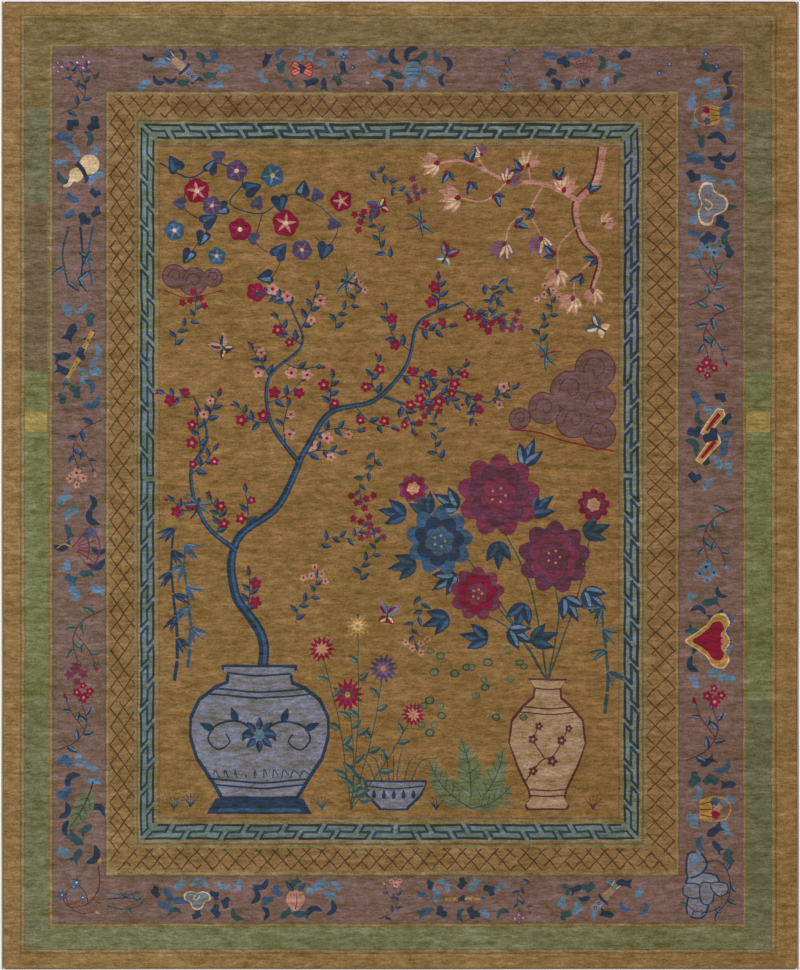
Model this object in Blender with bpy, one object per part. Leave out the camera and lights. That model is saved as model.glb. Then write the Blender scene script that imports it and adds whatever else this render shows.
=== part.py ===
"""Large hand-knotted wool carpet of Chinese make, lying flat, with overcast side cords.

Units are metres, +Z is up. The origin is on the floor under the middle of the carpet, +X runs
across the width and +Y along the length, towards the end that is woven last.
"""

import math

import bmesh
import bpy

# Driving dimensions of the carpet as it lies
RUG_WIDTH = 2.438
RUG_LENGTH = 2.959
FOUNDATION_THICKNESS = 0.0030
PILE_HEIGHT = 0.0085
RUG_THICKNESS = FOUNDATION_THICKNESS + PILE_HEIGHT

# Side cords, overcast in wool along both long edges
CORD_WIDTH = 0.0060
CORD_HEIGHT = 0.0056
CORD_SIDES = 12
CORD_END_TAPER = 0.0040
CORD_END_FULLNESS = 0.55
CORD_FLATTENING = 0.0004

# Clearance between pieces that touch on the real carpet
GAP = 0.0003

# Unevenness that a hand-woven carpet keeps: edges that wander and pile that is not quite level
EDGE_WANDER = 0.0008
SIDE_WAVES = 3
END_WAVES = 2
SIDE_PHASES = {-1: 0.0, 1: 0.9}
END_PHASES = {-1: 0.0, 1: 2.1}
PILE_RELIEF = 0.0005
RELIEF_WAVE_ACROSS = 0.81
RELIEF_WAVE_ALONG = 1.07
RELIEF_ROLL_SHARE = 0.6
RELIEF_ROLL_BEND = 0.7
RELIEF_CROSS_SLANT = 0.4
CORNER_RADIUS = 0.0060

# Cells of the knotted piece's upper face, between narrow strips along its rim
RIM_STRIP = 0.0110
CELLS_ACROSS = 16
CELLS_ALONG = 20

# Section of the pile's edge, from its upper shoulder down to the floor
# inset from the outline, height above the floor
PILE_EDGE_SECTION = (
    (0.0055, RUG_THICKNESS),
    (0.0022, RUG_THICKNESS - 0.0012),
    (0.0005, RUG_THICKNESS - 0.0036),
    (0.0000, FOUNDATION_THICKNESS + 0.0022),
    (0.0007, FOUNDATION_THICKNESS),
    (0.0010, 0.0006),
    (0.0018, 0.0000),
)

# Finish of each piece: colour in linear light, roughness
PILE_COLOUR = (0.185, 0.115, 0.048, 1.0)
CORD_COLOUR = (0.150, 0.105, 0.062, 1.0)
WOOL_ROUGHNESS = 0.95
CREASE_ANGLE = math.radians(60.0)


def clear_scene():
    """Remove whatever the open file holds."""
    for old in list(bpy.data.objects):
        bpy.data.objects.remove(old, do_unlink=True)


def wool(name, colour):
    """A matt wool material of one colour."""
    material = bpy.data.materials.new(name)
    material.use_nodes = True
    shader = material.node_tree.nodes["Principled BSDF"]
    shader.inputs["Base Color"].default_value = colour
    shader.inputs["Roughness"].default_value = WOOL_ROUGHNESS
    shader.inputs["Metallic"].default_value = 0.0
    return material


def wander(place, span, waves, phase):
    """How far an edge draws in from its widest line, at a place along it."""
    turn = 2.0 * math.pi * waves * place / span + phase
    return EDGE_WANDER * 0.5 * (1.0 - math.cos(turn))


def side_reach(y, side):
    """Distance of the cord's outer face from the middle line, on the side -1 or +1."""
    return RUG_WIDTH / 2 - wander(y, RUG_LENGTH, SIDE_WAVES, SIDE_PHASES[side])


def pile_side_reach(y, side):
    """Distance of the knotted piece's side from the middle line."""
    return side_reach(y, side) - CORD_WIDTH - GAP


def end_reach(x, end):
    """Distance of an end from the middle of the length, at the end -1 or +1."""
    return RUG_LENGTH / 2 - wander(x, RUG_WIDTH, END_WAVES, END_PHASES[end])


def cell_lines(half_span, cells):
    """Places of the grid lines: even cells between two narrow strips."""
    inner = half_span - RIM_STRIP
    lines = [-inner + 2.0 * inner * step / cells for step in range(cells + 1)]
    return [-half_span] + lines + [half_span]


def relief(x, y):
    """Height of the pile above or below its mean, worn and lying a little uneven."""
    across = 2.0 * math.pi * x / RELIEF_WAVE_ACROSS
    along = 2.0 * math.pi * y / RELIEF_WAVE_ALONG
    roll = math.sin(across + RELIEF_ROLL_BEND * math.sin(along))
    cross_roll = math.cos(along - RELIEF_CROSS_SLANT * across)
    return PILE_RELIEF * (RELIEF_ROLL_SHARE * roll + (1.0 - RELIEF_ROLL_SHARE) * cross_roll)


def outline_loop(columns, rows):
    """Grid places of the outline, anticlockwise from the corner at -X, -Y."""
    last_column = len(columns) - 1
    last_row = len(rows) - 1
    loop = [(column, 0) for column in range(last_column)]
    loop += [(last_column, row) for row in range(last_row)]
    loop += [(column, last_row) for column in range(last_column, 0, -1)]
    loop += [(0, row) for row in range(last_row, 0, -1)]
    return loop


def ground_point(column, row, columns, rows):
    """Plan position of a grid place, stretched to the wandering edges."""
    x = columns[column]
    y = rows[row]
    side = -1 if x < 0 else 1
    end = -1 if y < 0 else 1
    across = x / columns[-1] * pile_side_reach(y, side)
    along = y / rows[-1] * end_reach(x, end)
    return across, along


def outward(column, row, columns, rows):
    """Direction away from the carpet at an outline place."""
    across = {0: -1.0, len(columns) - 1: 1.0}.get(column, 0.0)
    along = {0: -1.0, len(rows) - 1: 1.0}.get(row, 0.0)
    size = math.hypot(across, along)
    return across / size, along / size


def edge_point(place, inset, columns, rows):
    """Plan position of an outline place drawn in by an inset, with the corner taken round."""
    column, row = place
    x, y = ground_point(column, row, columns, rows)
    across, along = outward(column, row, columns, rows)
    is_corner = across != 0.0 and along != 0.0
    if is_corner:
        corner_cut = CORNER_RADIUS * (math.sqrt(2.0) - 1.0)
        inset = inset + corner_cut
    return x - across * inset, y - along * inset


def bridge(mesh, lower, upper):
    """Join two closed rings of vertices with a band of faces."""
    count = len(lower)
    for step in range(count):
        after = (step + 1) % count
        mesh.faces.new((lower[step], lower[after], upper[after], upper[step]))


def finish_object(mesh, name, material):
    """Turn a bmesh into a named, smooth-shaded object."""
    bmesh.ops.recalc_face_normals(mesh, faces=mesh.faces)
    data = bpy.data.meshes.new(name)
    mesh.to_mesh(data)
    mesh.free()
    data.shade_smooth()
    data.set_sharp_from_angle(angle=CREASE_ANGLE)
    data.materials.append(material)
    thing = bpy.data.objects.new(name, data)
    bpy.context.scene.collection.objects.link(thing)
    return thing


def knotted_rug(material):
    """The knotted piece: flat foundation below, pile with a rounded rim and a slight relief above."""
    columns = cell_lines(RUG_WIDTH / 2 - CORD_WIDTH - GAP, CELLS_ACROSS)
    rows = cell_lines(RUG_LENGTH / 2, CELLS_ALONG)
    loop = outline_loop(columns, rows)
    mesh = bmesh.new()

    rings = []
    for inset, height in PILE_EDGE_SECTION:
        ring = [
            mesh.verts.new((*edge_point(place, inset, columns, rows), height))
            for place in loop
        ]
        rings.append(ring)
    for upper, lower in zip(rings, rings[1:]):
        bridge(mesh, lower, upper)
    mesh.faces.new(rings[-1])

    top = dict(zip(loop, rings[0]))
    for column in range(1, len(columns) - 1):
        for row in range(1, len(rows) - 1):
            x, y = ground_point(column, row, columns, rows)
            top[column, row] = mesh.verts.new((x, y, RUG_THICKNESS + relief(x, y)))
    for column in range(len(columns) - 1):
        for row in range(len(rows) - 1):
            mesh.faces.new((
                top[column, row],
                top[column + 1, row],
                top[column + 1, row + 1],
                top[column, row + 1],
            ))
    return finish_object(mesh, "knotted_rug", material)


def cord_section(y, side, fullness):
    """Ring of points round a side cord, flattened where it lies on the floor."""
    centre_x = side * (side_reach(y, side) - CORD_WIDTH / 2)
    centre_z = CORD_HEIGHT / 2 - CORD_FLATTENING
    to_corner = fullness / math.cos(math.pi / CORD_SIDES)
    points = []
    for step in range(CORD_SIDES):
        turn = 2.0 * math.pi * (step + 0.5) / CORD_SIDES
        x = centre_x + to_corner * CORD_WIDTH / 2 * math.cos(turn)
        z = centre_z + to_corner * CORD_HEIGHT / 2 * math.sin(turn)
        points.append((x, y, max(z, 0.0)))
    return points


def side_cord(name, side, material):
    """An overcast cord along one long side, with rounded ends."""
    rows = cell_lines(RUG_LENGTH / 2, CELLS_ALONG)
    first = -end_reach(side * RUG_WIDTH / 2, -1)
    last = end_reach(side * RUG_WIDTH / 2, 1)
    stations = [(first, CORD_END_FULLNESS), (first + CORD_END_TAPER, 1.0)]
    stations += [(y, 1.0) for y in rows[2:-2]]
    stations += [(last - CORD_END_TAPER, 1.0), (last, CORD_END_FULLNESS)]
    mesh = bmesh.new()
    rings = [
        [mesh.verts.new(point) for point in cord_section(y, side, fullness)]
        for y, fullness in stations
    ]
    for lower, upper in zip(rings, rings[1:]):
        bridge(mesh, lower, upper)
    mesh.faces.new(rings[0])
    mesh.faces.new(rings[-1])
    return finish_object(mesh, name, material)


def build():
    """Make every piece of the carpet."""
    clear_scene()
    pile = wool("wool_pile", PILE_COLOUR)
    overcast = wool("overcast_wool", CORD_COLOUR)
    knotted_rug(pile)
    side_cord("selvedge_left", -1, overcast)
    side_cord("selvedge_right", 1, overcast)


build()
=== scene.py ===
"""Looks of a large hand-knotted Chinese wool carpet, seen from straight above.

The weaver's drawing is worked out as flat figures in millimetres on the carpet's plan, +X to the
right and +Y towards the far end. The figures become coloured faces of the pile and of the back,
and the shaders add the wool: knots, streaks of dye, wear and sheen.
"""

import logging
import math
import random
from dataclasses import dataclass, field
from enum import Enum
from functools import partial
from typing import Any, Callable, NamedTuple, Sequence

import bpy
import numpy as np
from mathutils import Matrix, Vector
from mathutils.geometry import delaunay_2d_cdt


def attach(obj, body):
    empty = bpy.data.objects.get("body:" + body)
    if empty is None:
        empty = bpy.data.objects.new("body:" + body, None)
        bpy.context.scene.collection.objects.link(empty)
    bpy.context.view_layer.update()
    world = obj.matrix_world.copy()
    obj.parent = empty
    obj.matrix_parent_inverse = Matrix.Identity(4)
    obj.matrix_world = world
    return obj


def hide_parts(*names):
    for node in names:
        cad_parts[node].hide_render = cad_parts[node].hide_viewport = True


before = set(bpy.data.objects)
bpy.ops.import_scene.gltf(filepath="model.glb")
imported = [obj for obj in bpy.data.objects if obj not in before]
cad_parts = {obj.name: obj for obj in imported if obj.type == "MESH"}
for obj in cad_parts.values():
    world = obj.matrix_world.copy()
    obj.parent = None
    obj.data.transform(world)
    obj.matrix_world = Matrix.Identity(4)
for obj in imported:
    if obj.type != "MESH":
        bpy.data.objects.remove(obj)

LOG = logging.getLogger("carpet")
METRES = 0.001
MILLIMETRES = 1000
HALF_MM = 500
TINY = 1e-9
YARN_SPECULAR = 0.15

Array = np.ndarray
Points = Sequence[tuple[float, float]]


class Dye(Enum):
    """Shades of the dyed wool, as they look in even light, in 0 to 255 display values."""

    FIELD_GOLD = (129, 97, 54)
    MARGIN_GOLD = (138, 107, 64)
    LATTICE_GOLD = (130, 100, 63)
    DARK_GUARD = (112, 90, 57)
    LIGHT_GUARD = (133, 115, 77)
    BROWN_GUARD = (109, 86, 64)
    GREEN_GUARD = (123, 108, 67)
    LATTICE_BROWN = (121, 91, 57)
    LATTICE_LINE = (80, 54, 20)
    OLIVE = (119, 100, 63)
    OLIVE_GREY = (112, 99, 72)
    OLIVE_BROWN = (105, 87, 63)
    OLIVE_GREEN = (106, 104, 76)
    GREEN = (110, 110, 78)
    PATCH_GOLD = (150, 128, 72)
    MOSS = (108, 111, 72)
    SAGE = (105, 106, 74)
    DEEP_SAGE = (100, 100, 71)
    MAUVE = (113, 87, 78)
    FRET_GREEN = (107, 119, 106)
    FRET_SLATE = (107, 114, 117)
    FRET_GREY = (98, 110, 105)
    FRET_DARK = (38, 47, 53)
    FRET_BLUE = (42, 57, 73)
    NAVY = (36, 50, 72)
    BLUE = (54, 79, 106)
    SKY = (88, 112, 134)
    TEAL = (46, 70, 74)
    CRIMSON = (122, 12, 44)
    MAGENTA = (108, 44, 66)
    PLUM = (88, 44, 62)
    PURPLE = (70, 58, 88)
    LILAC = (112, 76, 98)
    PINK = (168, 118, 104)
    CORAL = (192, 106, 82)
    CREAM = (196, 168, 130)
    YARN_GOLD = (162, 124, 60)
    ROCK_GREY = (112, 110, 120)
    ROSE_TAN = (152, 124, 97)
    HILL_MAUVE = (102, 74, 70)
    MAROON = (84, 40, 40)
    LEAF_GREEN = (98, 104, 74)
    DEEP_GREEN = (58, 68, 56)
    END_WEB = (112, 92, 74)

    def linear(self) -> Array:
        """The shade in linear light."""
        display = np.array(self.value, float) / 255.0
        return np.where(display <= 0.04045, display / 12.92, ((display + 0.055) / 1.055) ** 2.4)


class Side(Enum):
    """A side of the carpet: the direction that leads outwards, in degrees."""

    RIGHT = 0.0
    TOP = 90.0
    LEFT = 180.0
    BOTTOM = 270.0

    @property
    def upright(self) -> bool:
        """Whether the side runs up the picture."""
        return self in (Side.LEFT, Side.RIGHT)

    def line(self, rect: "Rect") -> float:
        """The place of this side of a rectangle."""
        return getattr(rect, self.name.lower())


@dataclass(frozen=True)
class Figure:
    """An area of one dye, with its outline in millimetres."""

    outline: Array
    dye: Dye


@dataclass
class Cartoon:
    """The weaver's drawing: figures in the order in which they cover each other."""

    ground: Dye
    figures: list[Figure] = field(default_factory=list)

    def add(self, outline: Array, dye: Dye) -> None:
        """Lay one more figure on the drawing."""
        self.figures.append(Figure(outline, dye))


def smooth(points: Points, pieces: int = 5, closed: bool = False) -> Array:
    """Draw a curve through given points.

    Args:
        points: the places that the curve passes through.
        pieces: straight pieces between two places.
        closed: whether the curve returns to its start.

    Returns:
        The curve's points, one row each.
    """
    knots = np.asarray(points, float)
    if len(knots) < 3:
        return knots
    if closed:
        knots = np.vstack([knots[-1], knots, knots[:2]])
    else:
        knots = np.vstack([2 * knots[0] - knots[1], knots, 2 * knots[-1] - knots[-2]])
    steps = np.linspace(0.0, 1.0, pieces, endpoint=False)[:, None]
    spans = []
    for before, start, end, after in zip(knots, knots[1:], knots[2:], knots[3:]):
        bend = (2 * before - 5 * start + 4 * end - after) * steps**2
        twist = (3 * start - before - 3 * end + after) * steps**3
        spans.append(0.5 * (2 * start + (end - before) * steps + bend + twist))
    if not closed:
        spans.append(knots[-2][None])
    return np.vstack(spans)


def headings(path: Array) -> Array:
    """Unit directions along a path, one for each of its points."""
    steps = np.gradient(path, axis=0)
    return steps / np.maximum(np.linalg.norm(steps, axis=1), TINY)[:, None]


def bearing(direction: Array) -> float:
    """The angle of a direction, in degrees."""
    return math.degrees(math.atan2(direction[1], direction[0]))


@dataclass(frozen=True)
class Pen:
    """Draws in a frame of its own, in millimetres, laid on the carpet's plan."""

    sheet: Cartoon
    x: float = 0.0
    y: float = 0.0
    turn: float = 0.0
    size: float = 1.0
    mirrored: bool = False

    def plan(self, points: Points) -> Array:
        """Where points of this frame lie on the carpet.

        Args:
            points: places in this frame.

        Returns:
            The same places, one row each.
        """
        local = np.asarray(points, float).reshape(-1, 2) * self.size
        if self.mirrored:
            local = local * (1.0, -1.0)
        angle = math.radians(self.turn)
        spin = np.array([[math.cos(angle), math.sin(angle)], [-math.sin(angle), math.cos(angle)]])
        return local @ spin + (self.x, self.y)

    def at(self, x: float, y: float, turn: float = 0.0, size: float = 1.0, mirrored: bool = False) -> "Pen":
        """A pen whose frame starts at a place of this one, turned and scaled.

        Args:
            x, y: the place.
            turn: how far it is turned, in degrees.
            size: its scale.
            mirrored: whether it is a mirror image.

        Returns:
            The new pen.
        """
        place = self.plan([(x, y)])[0]
        sign = -1.0 if self.mirrored else 1.0
        return Pen(
            self.sheet,
            float(place[0]),
            float(place[1]),
            self.turn + sign * turn,
            self.size * size,
            self.mirrored != mirrored,
        )

    def fill(self, points: Points, dye: Dye, curved: int = 0) -> None:
        """Fill an outline, rounded into a closed curve where curved gives pieces between points."""
        outline = smooth(points, curved, closed=True) if curved else points
        self.sheet.add(self.plan(outline), dye)

    def ink(self, points: Points, width: float, dye: Dye, tip: float | None = None, pieces: int = 5) -> Array:
        """Draw a line that tapers from width to tip, and return its path.

        Args:
            points: places that the line passes through.
            width, tip: its width at the start and at the end.
            dye: its shade.
            pieces: straight pieces between two places.

        Returns:
            The line's path.
        """
        path = smooth(points, pieces)
        ending = width if tip is None else tip
        half = np.linspace(width, ending, len(path))[:, None] / 2
        ahead = headings(path)
        across = np.stack([-ahead[:, 1], ahead[:, 0]], axis=1)
        self.sheet.add(self.plan(np.vstack([path + across * half, (path - across * half)[::-1]])), dye)
        return path

    def outline(self, points: Points, width: float, dye: Dye, pieces: int = 4) -> None:
        """Draw a line of even width round a closed curve, as one ring.

        Args:
            points: places that the curve passes through.
            width: the line's width.
            dye: its shade.
            pieces: straight pieces between two places.
        """
        path = smooth(points, pieces, closed=True)
        steps = np.roll(path, -1, axis=0) - np.roll(path, 1, axis=0)
        across = np.stack([-steps[:, 1], steps[:, 0]], axis=1)
        across *= width / 2 / np.maximum(np.linalg.norm(across, axis=1), TINY)[:, None]
        outer = path + across
        inner = path - across
        self.sheet.add(self.plan(np.vstack([outer, outer[:1], inner[:1], inner[:0:-1]])), dye)

    def bar(
        self, start: Sequence[float], end: Sequence[float], width: float, dye: Dye, tip: float = 0.0,
    ) -> None:
        """Draw a straight line with square ends, of one width or of another, tip, at its end.

        Args:
            start, end: its ends.
            width, tip: its width at the start and at the end.
            dye: its shade.
        """
        first = np.asarray(start, float)
        last = np.asarray(end, float)
        ahead = (last - first) / max(float(np.linalg.norm(last - first)), TINY)
        across = np.array([-ahead[1], ahead[0]])
        near = width / 2
        far = (tip or width) / 2
        corners = [
            first + (across - ahead) * near,
            first - (across + ahead) * near,
            last + (ahead - across) * far,
            last + (ahead + across) * far,
        ]
        self.sheet.add(self.plan(corners), dye)

    def disc(self, x: float, y: float, radius: float, dye: Dye, sides: int = 10, flat: float = 1.0) -> None:
        """Fill a round or an oval spot."""
        angles = np.linspace(0.0, 2 * math.pi, sides, endpoint=False)
        self.fill(np.stack([x + radius * np.cos(angles), y + flat * radius * np.sin(angles)], axis=1), dye)

    def rosette(self, x: float, y: float, radius: float, petals: int, dye: Dye, depth: float = 0.3) -> None:
        """Fill a flower shape with round petals.

        Args:
            x, y: its middle.
            radius: reach of its petals.
            petals: how many it has.
            dye: its shade.
            depth: how deep it is cut between them, as a share of the radius.
        """
        angles = np.linspace(0.0, 2 * math.pi, petals * 6, endpoint=False)
        reach = radius * (1.0 - depth + depth * np.abs(np.cos(angles * petals / 2)))
        self.fill(np.stack([x + reach * np.cos(angles), y + reach * np.sin(angles)], axis=1), dye)

    def leaf(
        self, x: float, y: float, turn: float, length: float, width: float, dye: Dye,
        light: Dye | None = None, bend: float = 0.0,
    ) -> None:
        """Draw a pointed leaf or petal.

        Args:
            x, y: place of its stalk end.
            turn: direction in which it points, in degrees.
            length, width: from stalk end to tip, and across its middle.
            dye: its shade.
            light: shade of the half that catches the light, if it has one.
            bend: how far its middle lies to one side.
        """
        along = np.array([0.0, 0.12, 0.32, 0.55, 0.78, 1.0])
        half = width / 2 * np.array([0.0, 0.6, 1.0, 0.9, 0.5, 0.0])
        spine = bend * np.sin(np.pi * along)
        upper = np.stack([along * length, spine + half], axis=1)
        lower = np.stack([along * length, spine - half], axis=1)[-2:0:-1]
        own = self.at(x, y, turn)
        own.fill(np.vstack([upper, lower]), dye)
        if light is not None:
            middle = np.stack([along * length, spine], axis=1)[1:-1]
            inner = np.stack([along * length, spine + 0.72 * half], axis=1)[1:-1]
            own.fill(np.vstack([middle, inner[::-1]]), light)

    def petals(
        self, count: int, inner: float, length: float, width: float, dye: Dye, start: float = 0.0,
    ) -> None:
        """Draw a ring of pointed petals about the frame's origin.

        Args:
            count: how many there are.
            inner: distance of their stalk ends from the origin.
            length, width: size of a petal.
            dye: their shade.
            start: direction of the first, in degrees.
        """
        for step in range(count):
            angle = start + 360.0 * step / count
            ray = self.at(0.0, 0.0, angle)
            ray.leaf(inner, 0.0, 0.0, length, width, dye)


@dataclass(frozen=True)
class Rect:
    """A rectangle on the plan, in millimetres."""

    left: float
    right: float
    bottom: float
    top: float

    def corners(self) -> Array:
        """Its corners, anticlockwise from the lower left."""
        left, right, bottom, top = self.left, self.right, self.bottom, self.top
        return np.array([(left, bottom), (right, bottom), (right, top), (left, top)])

    def shrunk(self, left: float, right: float, top: float, bottom: float) -> "Rect":
        """The rectangle drawn in by a distance on each side."""
        return Rect(self.left + left, self.right - right, self.bottom + bottom, self.top - top)

    def rounded(self, inset: float, radius: float, step: float) -> Array:
        """An outline inside the rectangle, with round corners.

        Args:
            inset: how far inside the outline lies.
            radius: of its corners.
            step: the longest distance between its points.

        Returns:
            The outline's points.
        """
        points = []
        for quarter, (x, y) in enumerate(self.shrunk(*[inset + radius] * 4).corners()):
            for angle in np.radians(180.0 + 90.0 * quarter + np.linspace(0.0, 90.0, 4)):
                points.append((x + radius * math.cos(angle), y + radius * math.sin(angle)))
        return split_edges(np.array(points), step)


def split_edges(outline: Array, longest: float) -> Array:
    """Divide the long edges of a closed outline.

    Args:
        outline: the outline.
        longest: the longest piece that is left.

    Returns:
        The outline with its new points.
    """
    parts = []
    for start, end in zip(outline, np.roll(outline, -1, axis=0)):
        count = max(1, math.ceil(float(np.linalg.norm(end - start)) / longest))
        parts.append(start + (end - start) * np.arange(count)[:, None] / count)
    return np.vstack(parts)


class Setback(NamedTuple):
    """Distances of a line of the border from the carpet's outer edges."""

    left: float
    right: float
    top: float
    bottom: float

    def towards(self, other: "Setback", share: float) -> "Setback":
        """The setback that lies a share of the way to another."""
        return Setback(*(own + (far - own) * share for own, far in zip(self, other)))


@dataclass(frozen=True)
class Plan:
    """The carpet's plan: its size and the lines between its bands, as woven on each side."""

    width: float
    length: float
    margin_end: Setback = Setback(57, 68, 42, 48)
    green_start: Setback = Setback(73, 87, 53, 63)
    green_end: Setback = Setback(141, 161, 128, 128)
    mauve_start: Setback = Setback(163, 175, 141, 145)
    mauve_end: Setback = Setback(318, 366, 275, 284)
    lattice_start: Setback = Setback(333, 380, 290, 305)
    lattice_end: Setback = Setback(407, 465, 356, 370)
    fret_start: Setback = Setback(428, 493, 378, 400)
    fret_end: Setback = Setback(465, 533, 417, 441)
    field_start: Setback = Setback(485, 553, 445, 465)

    def rect(self, setback: Setback) -> Rect:
        """The rectangle at a setback."""
        return Rect(-self.width / 2, self.width / 2, -self.length / 2, self.length / 2).shrunk(*setback)

    def guards(self, sheet: Cartoon, outer: Setback, inner: Setback, *stripes: tuple[float, Dye]) -> None:
        """Lay narrow lines between two bands, each as a rectangle that the next one covers."""
        for share, dye in stripes:
            sheet.add(self.rect(outer.towards(inner, share)).corners(), dye)

    def side_pen(self, sheet: Cartoon, side: Side, outer: Setback, inner: Setback) -> Pen:
        """A pen on the middle line of a band: +X outwards, +Y to the left of that, origin at mid-side.

        Args:
            sheet: the drawing.
            side: the band's side.
            outer, inner: the band's edges.

        Returns:
            The pen.
        """
        line = side.line(self.rect(outer.towards(inner, 0.5)))
        x, y = (line, 0.0) if side.upright else (0.0, line)
        return Pen(sheet, x, y, side.value)


@dataclass(frozen=True)
class SideBands:
    """The green band, whose dye lots change along the two long sides."""

    plan: Plan
    # upper end of each lot, with its dye on the left and on the right
    lots: tuple[tuple[float, Dye, Dye], ...] = (
        (1150.0, Dye.OLIVE_GREEN, Dye.OLIVE_GREEN),
        (865.0, Dye.OLIVE_BROWN, Dye.OLIVE_GREY),
        (346.0, Dye.MOSS, Dye.MOSS),
        (226.0, Dye.PATCH_GOLD, Dye.PATCH_GOLD),
        (163.0, Dye.MOSS, Dye.MOSS),
        (-656.0, Dye.SAGE, Dye.DEEP_SAGE),
    )

    def draw(self, sheet: Cartoon) -> None:
        """Fill the band, the olive top first and then each lot down the sides.

        Args:
            sheet: the drawing to add to.
        """
        outer = self.plan.rect(self.plan.green_start)
        inner = self.plan.rect(self.plan.green_end)
        sheet.add(outer.corners(), Dye.OLIVE)
        for top, left_dye, right_dye in self.lots:
            sheet.add(Rect(outer.left, inner.left, outer.bottom, top).corners(), left_dye)
            sheet.add(Rect(inner.right, outer.right, outer.bottom, top).corners(), right_dye)
        sheet.add(Rect(outer.left, outer.right, outer.bottom, inner.bottom).corners(), Dye.GREEN)


@dataclass(frozen=True)
class Fret:
    """The key fret: one navy line that doubles back between three levels on a green ground."""

    plan: Plan
    line: float = 6.2
    # each side's join, from the middle of the side, and how much thicker the line grows towards it
    sides: tuple[tuple[Side, float, float], ...] = (
        (Side.TOP, -38.0, 3.6),
        (Side.BOTTOM, -15.0, 1.2),
        (Side.LEFT, 18.0, 0.8),
        (Side.RIGHT, 30.0, 3.0),
    )
    swelling_run: float = 320.0
    channel: float = 21.0
    slate_end: float = 420.0
    # how far each of the four slants of a repeat runs along the side
    slants_short: tuple[float, ...] = (13.0, 11.0, 12.0, 12.0)
    slants_long: tuple[float, ...] = (21.0, 20.0, 22.0, 20.0)
    # repeats from each corner to the join
    repeats_short: tuple[int, int] = (6, 6)
    repeats_long: tuple[int, int] = (7, 8)
    unevenness: float = 4.0
    level_wander: float = 0.05
    # how far the ground reaches past the fret, as a share of its depth
    ground_margin: float = 0.1
    # places along a repeat: its first gap, how far its slot lies before the gap, and what the join adds
    first_gap: float = 1.05
    slot_lead: float = 0.27
    closing_share: float = 0.73
    corner_share: float = 0.6

    def draw(self, sheet: Cartoon) -> None:
        """Draw the ground and the four sides, each from its two corners to its join.

        Args:
            sheet: the drawing to add to.
        """
        ground = self.plan.rect(self.plan.fret_start.towards(self.plan.fret_end, -self.ground_margin))
        outer = self.plan.rect(self.plan.fret_start)
        inner = self.plan.rect(self.plan.fret_end)
        sheet.add(ground.corners(), Dye.FRET_GREEN)
        sheet.add(Rect(inner.right, ground.right, self.slate_end, inner.top).corners(), Dye.FRET_SLATE)
        sheet.add(Rect(ground.left, inner.right, ground.bottom, self.slate_end).corners(), Dye.FRET_GREY)
        chance = random.Random(7)
        pen = Pen(sheet)
        for side, join, swelling in self.sides:
            start = side.line(outer)
            depth = side.line(inner) - start
            slants, repeats, corners = self.slants_short, self.repeats_short, (outer.left, outer.right)
            if side.upright:
                slants, repeats, corners = self.slants_long, self.repeats_long, (outer.top, outer.bottom)
            for count, corner in zip(repeats, corners):
                route = self.route(abs(join - corner), abs(depth), count, slants, chance)
                woven = []
                for along, level in route:
                    across = start + depth * (level + chance.uniform(-1, 1) * self.level_wander) / 2
                    run = corner + math.copysign(along, join - corner)
                    woven.append((across, run) if side.upright else (run, across))
                widths = [self.line + swelling * min(1.0, along / self.swelling_run) for along, _ in route]
                for step, (here, there) in enumerate(zip(woven, woven[1:])):
                    is_rim = route[step][1] == route[step + 1][1] != 1.0
                    dye = Dye.FRET_DARK if is_rim else Dye.FRET_BLUE
                    pen.bar(here, there, widths[step], dye, widths[step + 1])

    def route(
        self, span: float, depth: float, count: int, slants: tuple[float, ...], chance: random.Random
    ) -> list[tuple[float, float]]:
        """The line from a corner to the join, as distances along the side and levels 0 to 2.

        Args:
            span: from the corner to the join.
            depth: between the outer and the inner level.
            count: repeats on the way.
            slants: how far each slant of a repeat runs along the side.
            chance: the source of the weaver's unevenness.

        Returns:
            The distance and the level of each bend.
        """
        first = self.channel * self.corner_share
        pitch = (span - first) / (count + self.closing_share)
        half_gap = self.channel / 2
        leave, enter, back, home = slants
        gaps = [
            first + pitch * (self.first_gap + step) + chance.uniform(-1, 1) * self.unevenness
            for step in range(count)
        ]
        slots = [gap - self.slot_lead * pitch + chance.uniform(-1, 1) * self.unevenness for gap in gaps]
        start = slots[0] - half_gap
        route = [
            (depth + first, 2.0), (start, 2.0), (start - back, 1.0), (depth / 2 + first, 1.0), (first, 0.0),
        ]
        for step, (gap, slot) in enumerate(zip(gaps, slots)):
            last = step == count - 1
            closing = span - half_gap if last else slots[step + 1] - half_gap
            route += [
                (gap - half_gap, 0.0),
                (gap - half_gap + leave, 1.0),
                (slot + half_gap - enter, 1.0),
                (slot + half_gap, 2.0),
                (closing, 2.0),
                (closing if last else closing - back, 1.0),
                (gap + half_gap + home, 1.0),
                (gap + half_gap, 0.0),
            ]
        return route + [(span, 0.0)]


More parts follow.
